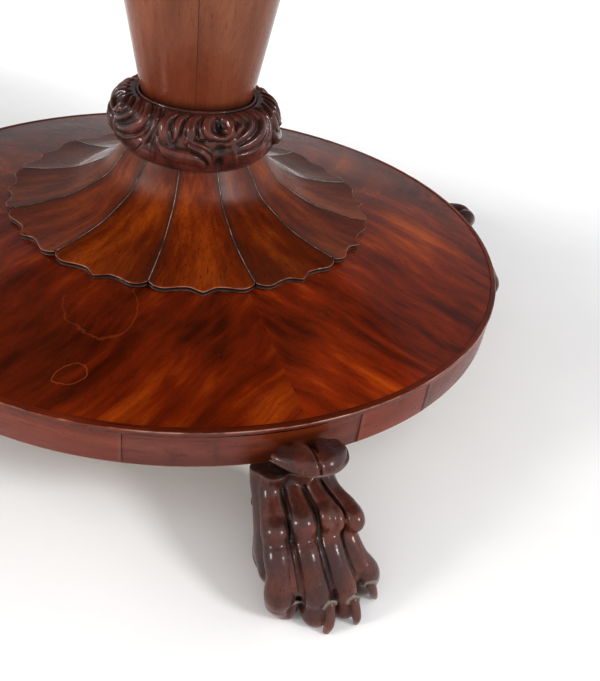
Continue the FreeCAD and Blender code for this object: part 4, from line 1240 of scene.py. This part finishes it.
finish_nodes(iron, "pivot_pins", "bearer_screws", "bolt_screws", "strike_screws")


# ---------------------------------------------------------------- floor, light and camera

# The direction of the dim side of the studio, and how bright the studio is facing it and behind the camera
BACK_WALL = (0.21, 0.90, 0.38)
WORLD_FRONT = 1.05
WORLD_BACK = 0.27
FLOOR_HALF = 6
SUN_WIDTH = 14
IMAGE_HEIGHT = 681.0
# The lens's focal length in rows of the image, and the sensor's size in millimetres
FOCAL_ROWS = 750.0
SENSOR = 36.0


def pale_floor():
    g = Graph("pale_floor")
    speck = g.noise(g.place, 3.0, 3, 0.5)
    colour = g.ramp(speck, [(0.3, (0.83, 0.83, 0.825)), (0.7, (0.87, 0.87, 0.865))])
    g.surface(Base_Color=colour, Roughness=0.6, Specular_IOR_Level=0.2)
    points = [(x * FLOOR_HALF, y * FLOOR_HALF, 0) for x, y in ((-1, -1), (1, -1), (1, 1), (-1, 1))]
    floor = make_object("floor", points, [(0, 1, 2, 3)], g.material, smooth=False)


def soft_sun(name, direction, strength, colour):
    light = bpy.data.lights.new(name, "SUN")
    light.energy = strength
    light.angle = math.radians(SUN_WIDTH)
    light.color = colour
    obj = bpy.data.objects.new(name, light)
    bpy.context.scene.collection.objects.link(obj)
    obj.location = direction
    obj.rotation_euler = (-Vector(direction)).to_track_quat("-Z", "Y").to_euler()


def surroundings():
    """A pale studio: brighter in front and at the sides than behind the table, with two soft windows."""
    world = bpy.data.worlds.new("studio")
    world.use_nodes = True
    tree = world.node_tree
    background = tree.nodes["Background"]
    direction = tree.nodes.new("ShaderNodeTexCoord").outputs["Generated"]
    towards = tree.nodes.new("ShaderNodeVectorMath")
    towards.operation = "DOT_PRODUCT"
    tree.links.new(direction, towards.inputs[0])
    towards.inputs[1].default_value = BACK_WALL
    share = tree.nodes.new("ShaderNodeMapRange")
    share.interpolation_type = "SMOOTHSTEP"
    for socket, value in zip(list(share.inputs)[1:5], (0.25, 0.8, WORLD_FRONT, WORLD_BACK)):
        socket.default_value = value
    tree.links.new(towards.outputs["Value"], share.inputs[0])
    tree.links.new(share.outputs[0], background.inputs["Strength"])
    background.inputs["Color"].default_value = (0.98, 0.985, 1.0, 1.0)
    bpy.context.scene.world = world
    soft_sun("left_window", (-0.944, -0.05, 0.371), 0.9, (1.0, 0.98, 0.95))
    soft_sun("front_window", (0.503, -0.643, 0.563), 1.1, (0.96, 0.98, 1.0))


def photograph_camera():
    """The photograph's viewpoint: in front and to the left, looking down, rolled a little."""
    place = Vector((-0.25782, -0.85393, 0.6264))
    right = Vector((0.91816, -0.37682, 0.12241))
    up = Vector((0.13116, 0.58061, 0.80355))
    back = right.cross(up)
    data = bpy.data.cameras.new("camera")
    data.sensor_width = SENSOR
    data.lens = SENSOR * FOCAL_ROWS / IMAGE_HEIGHT
    data.clip_start = 0.01
    camera = bpy.data.objects.new("camera", data)
    bpy.context.scene.collection.objects.link(camera)
    rotation = Matrix((right, up, back)).transposed().to_4x4()
    camera.matrix_world = Matrix.Translation(place) @ rotation
    bpy.context.scene.camera = camera


pale_floor()
surroundings()
photograph_camera()
view = bpy.context.scene.view_settings
view.view_transform = "Standard"
view.gamma = 0.8
view.exposure = 0.4
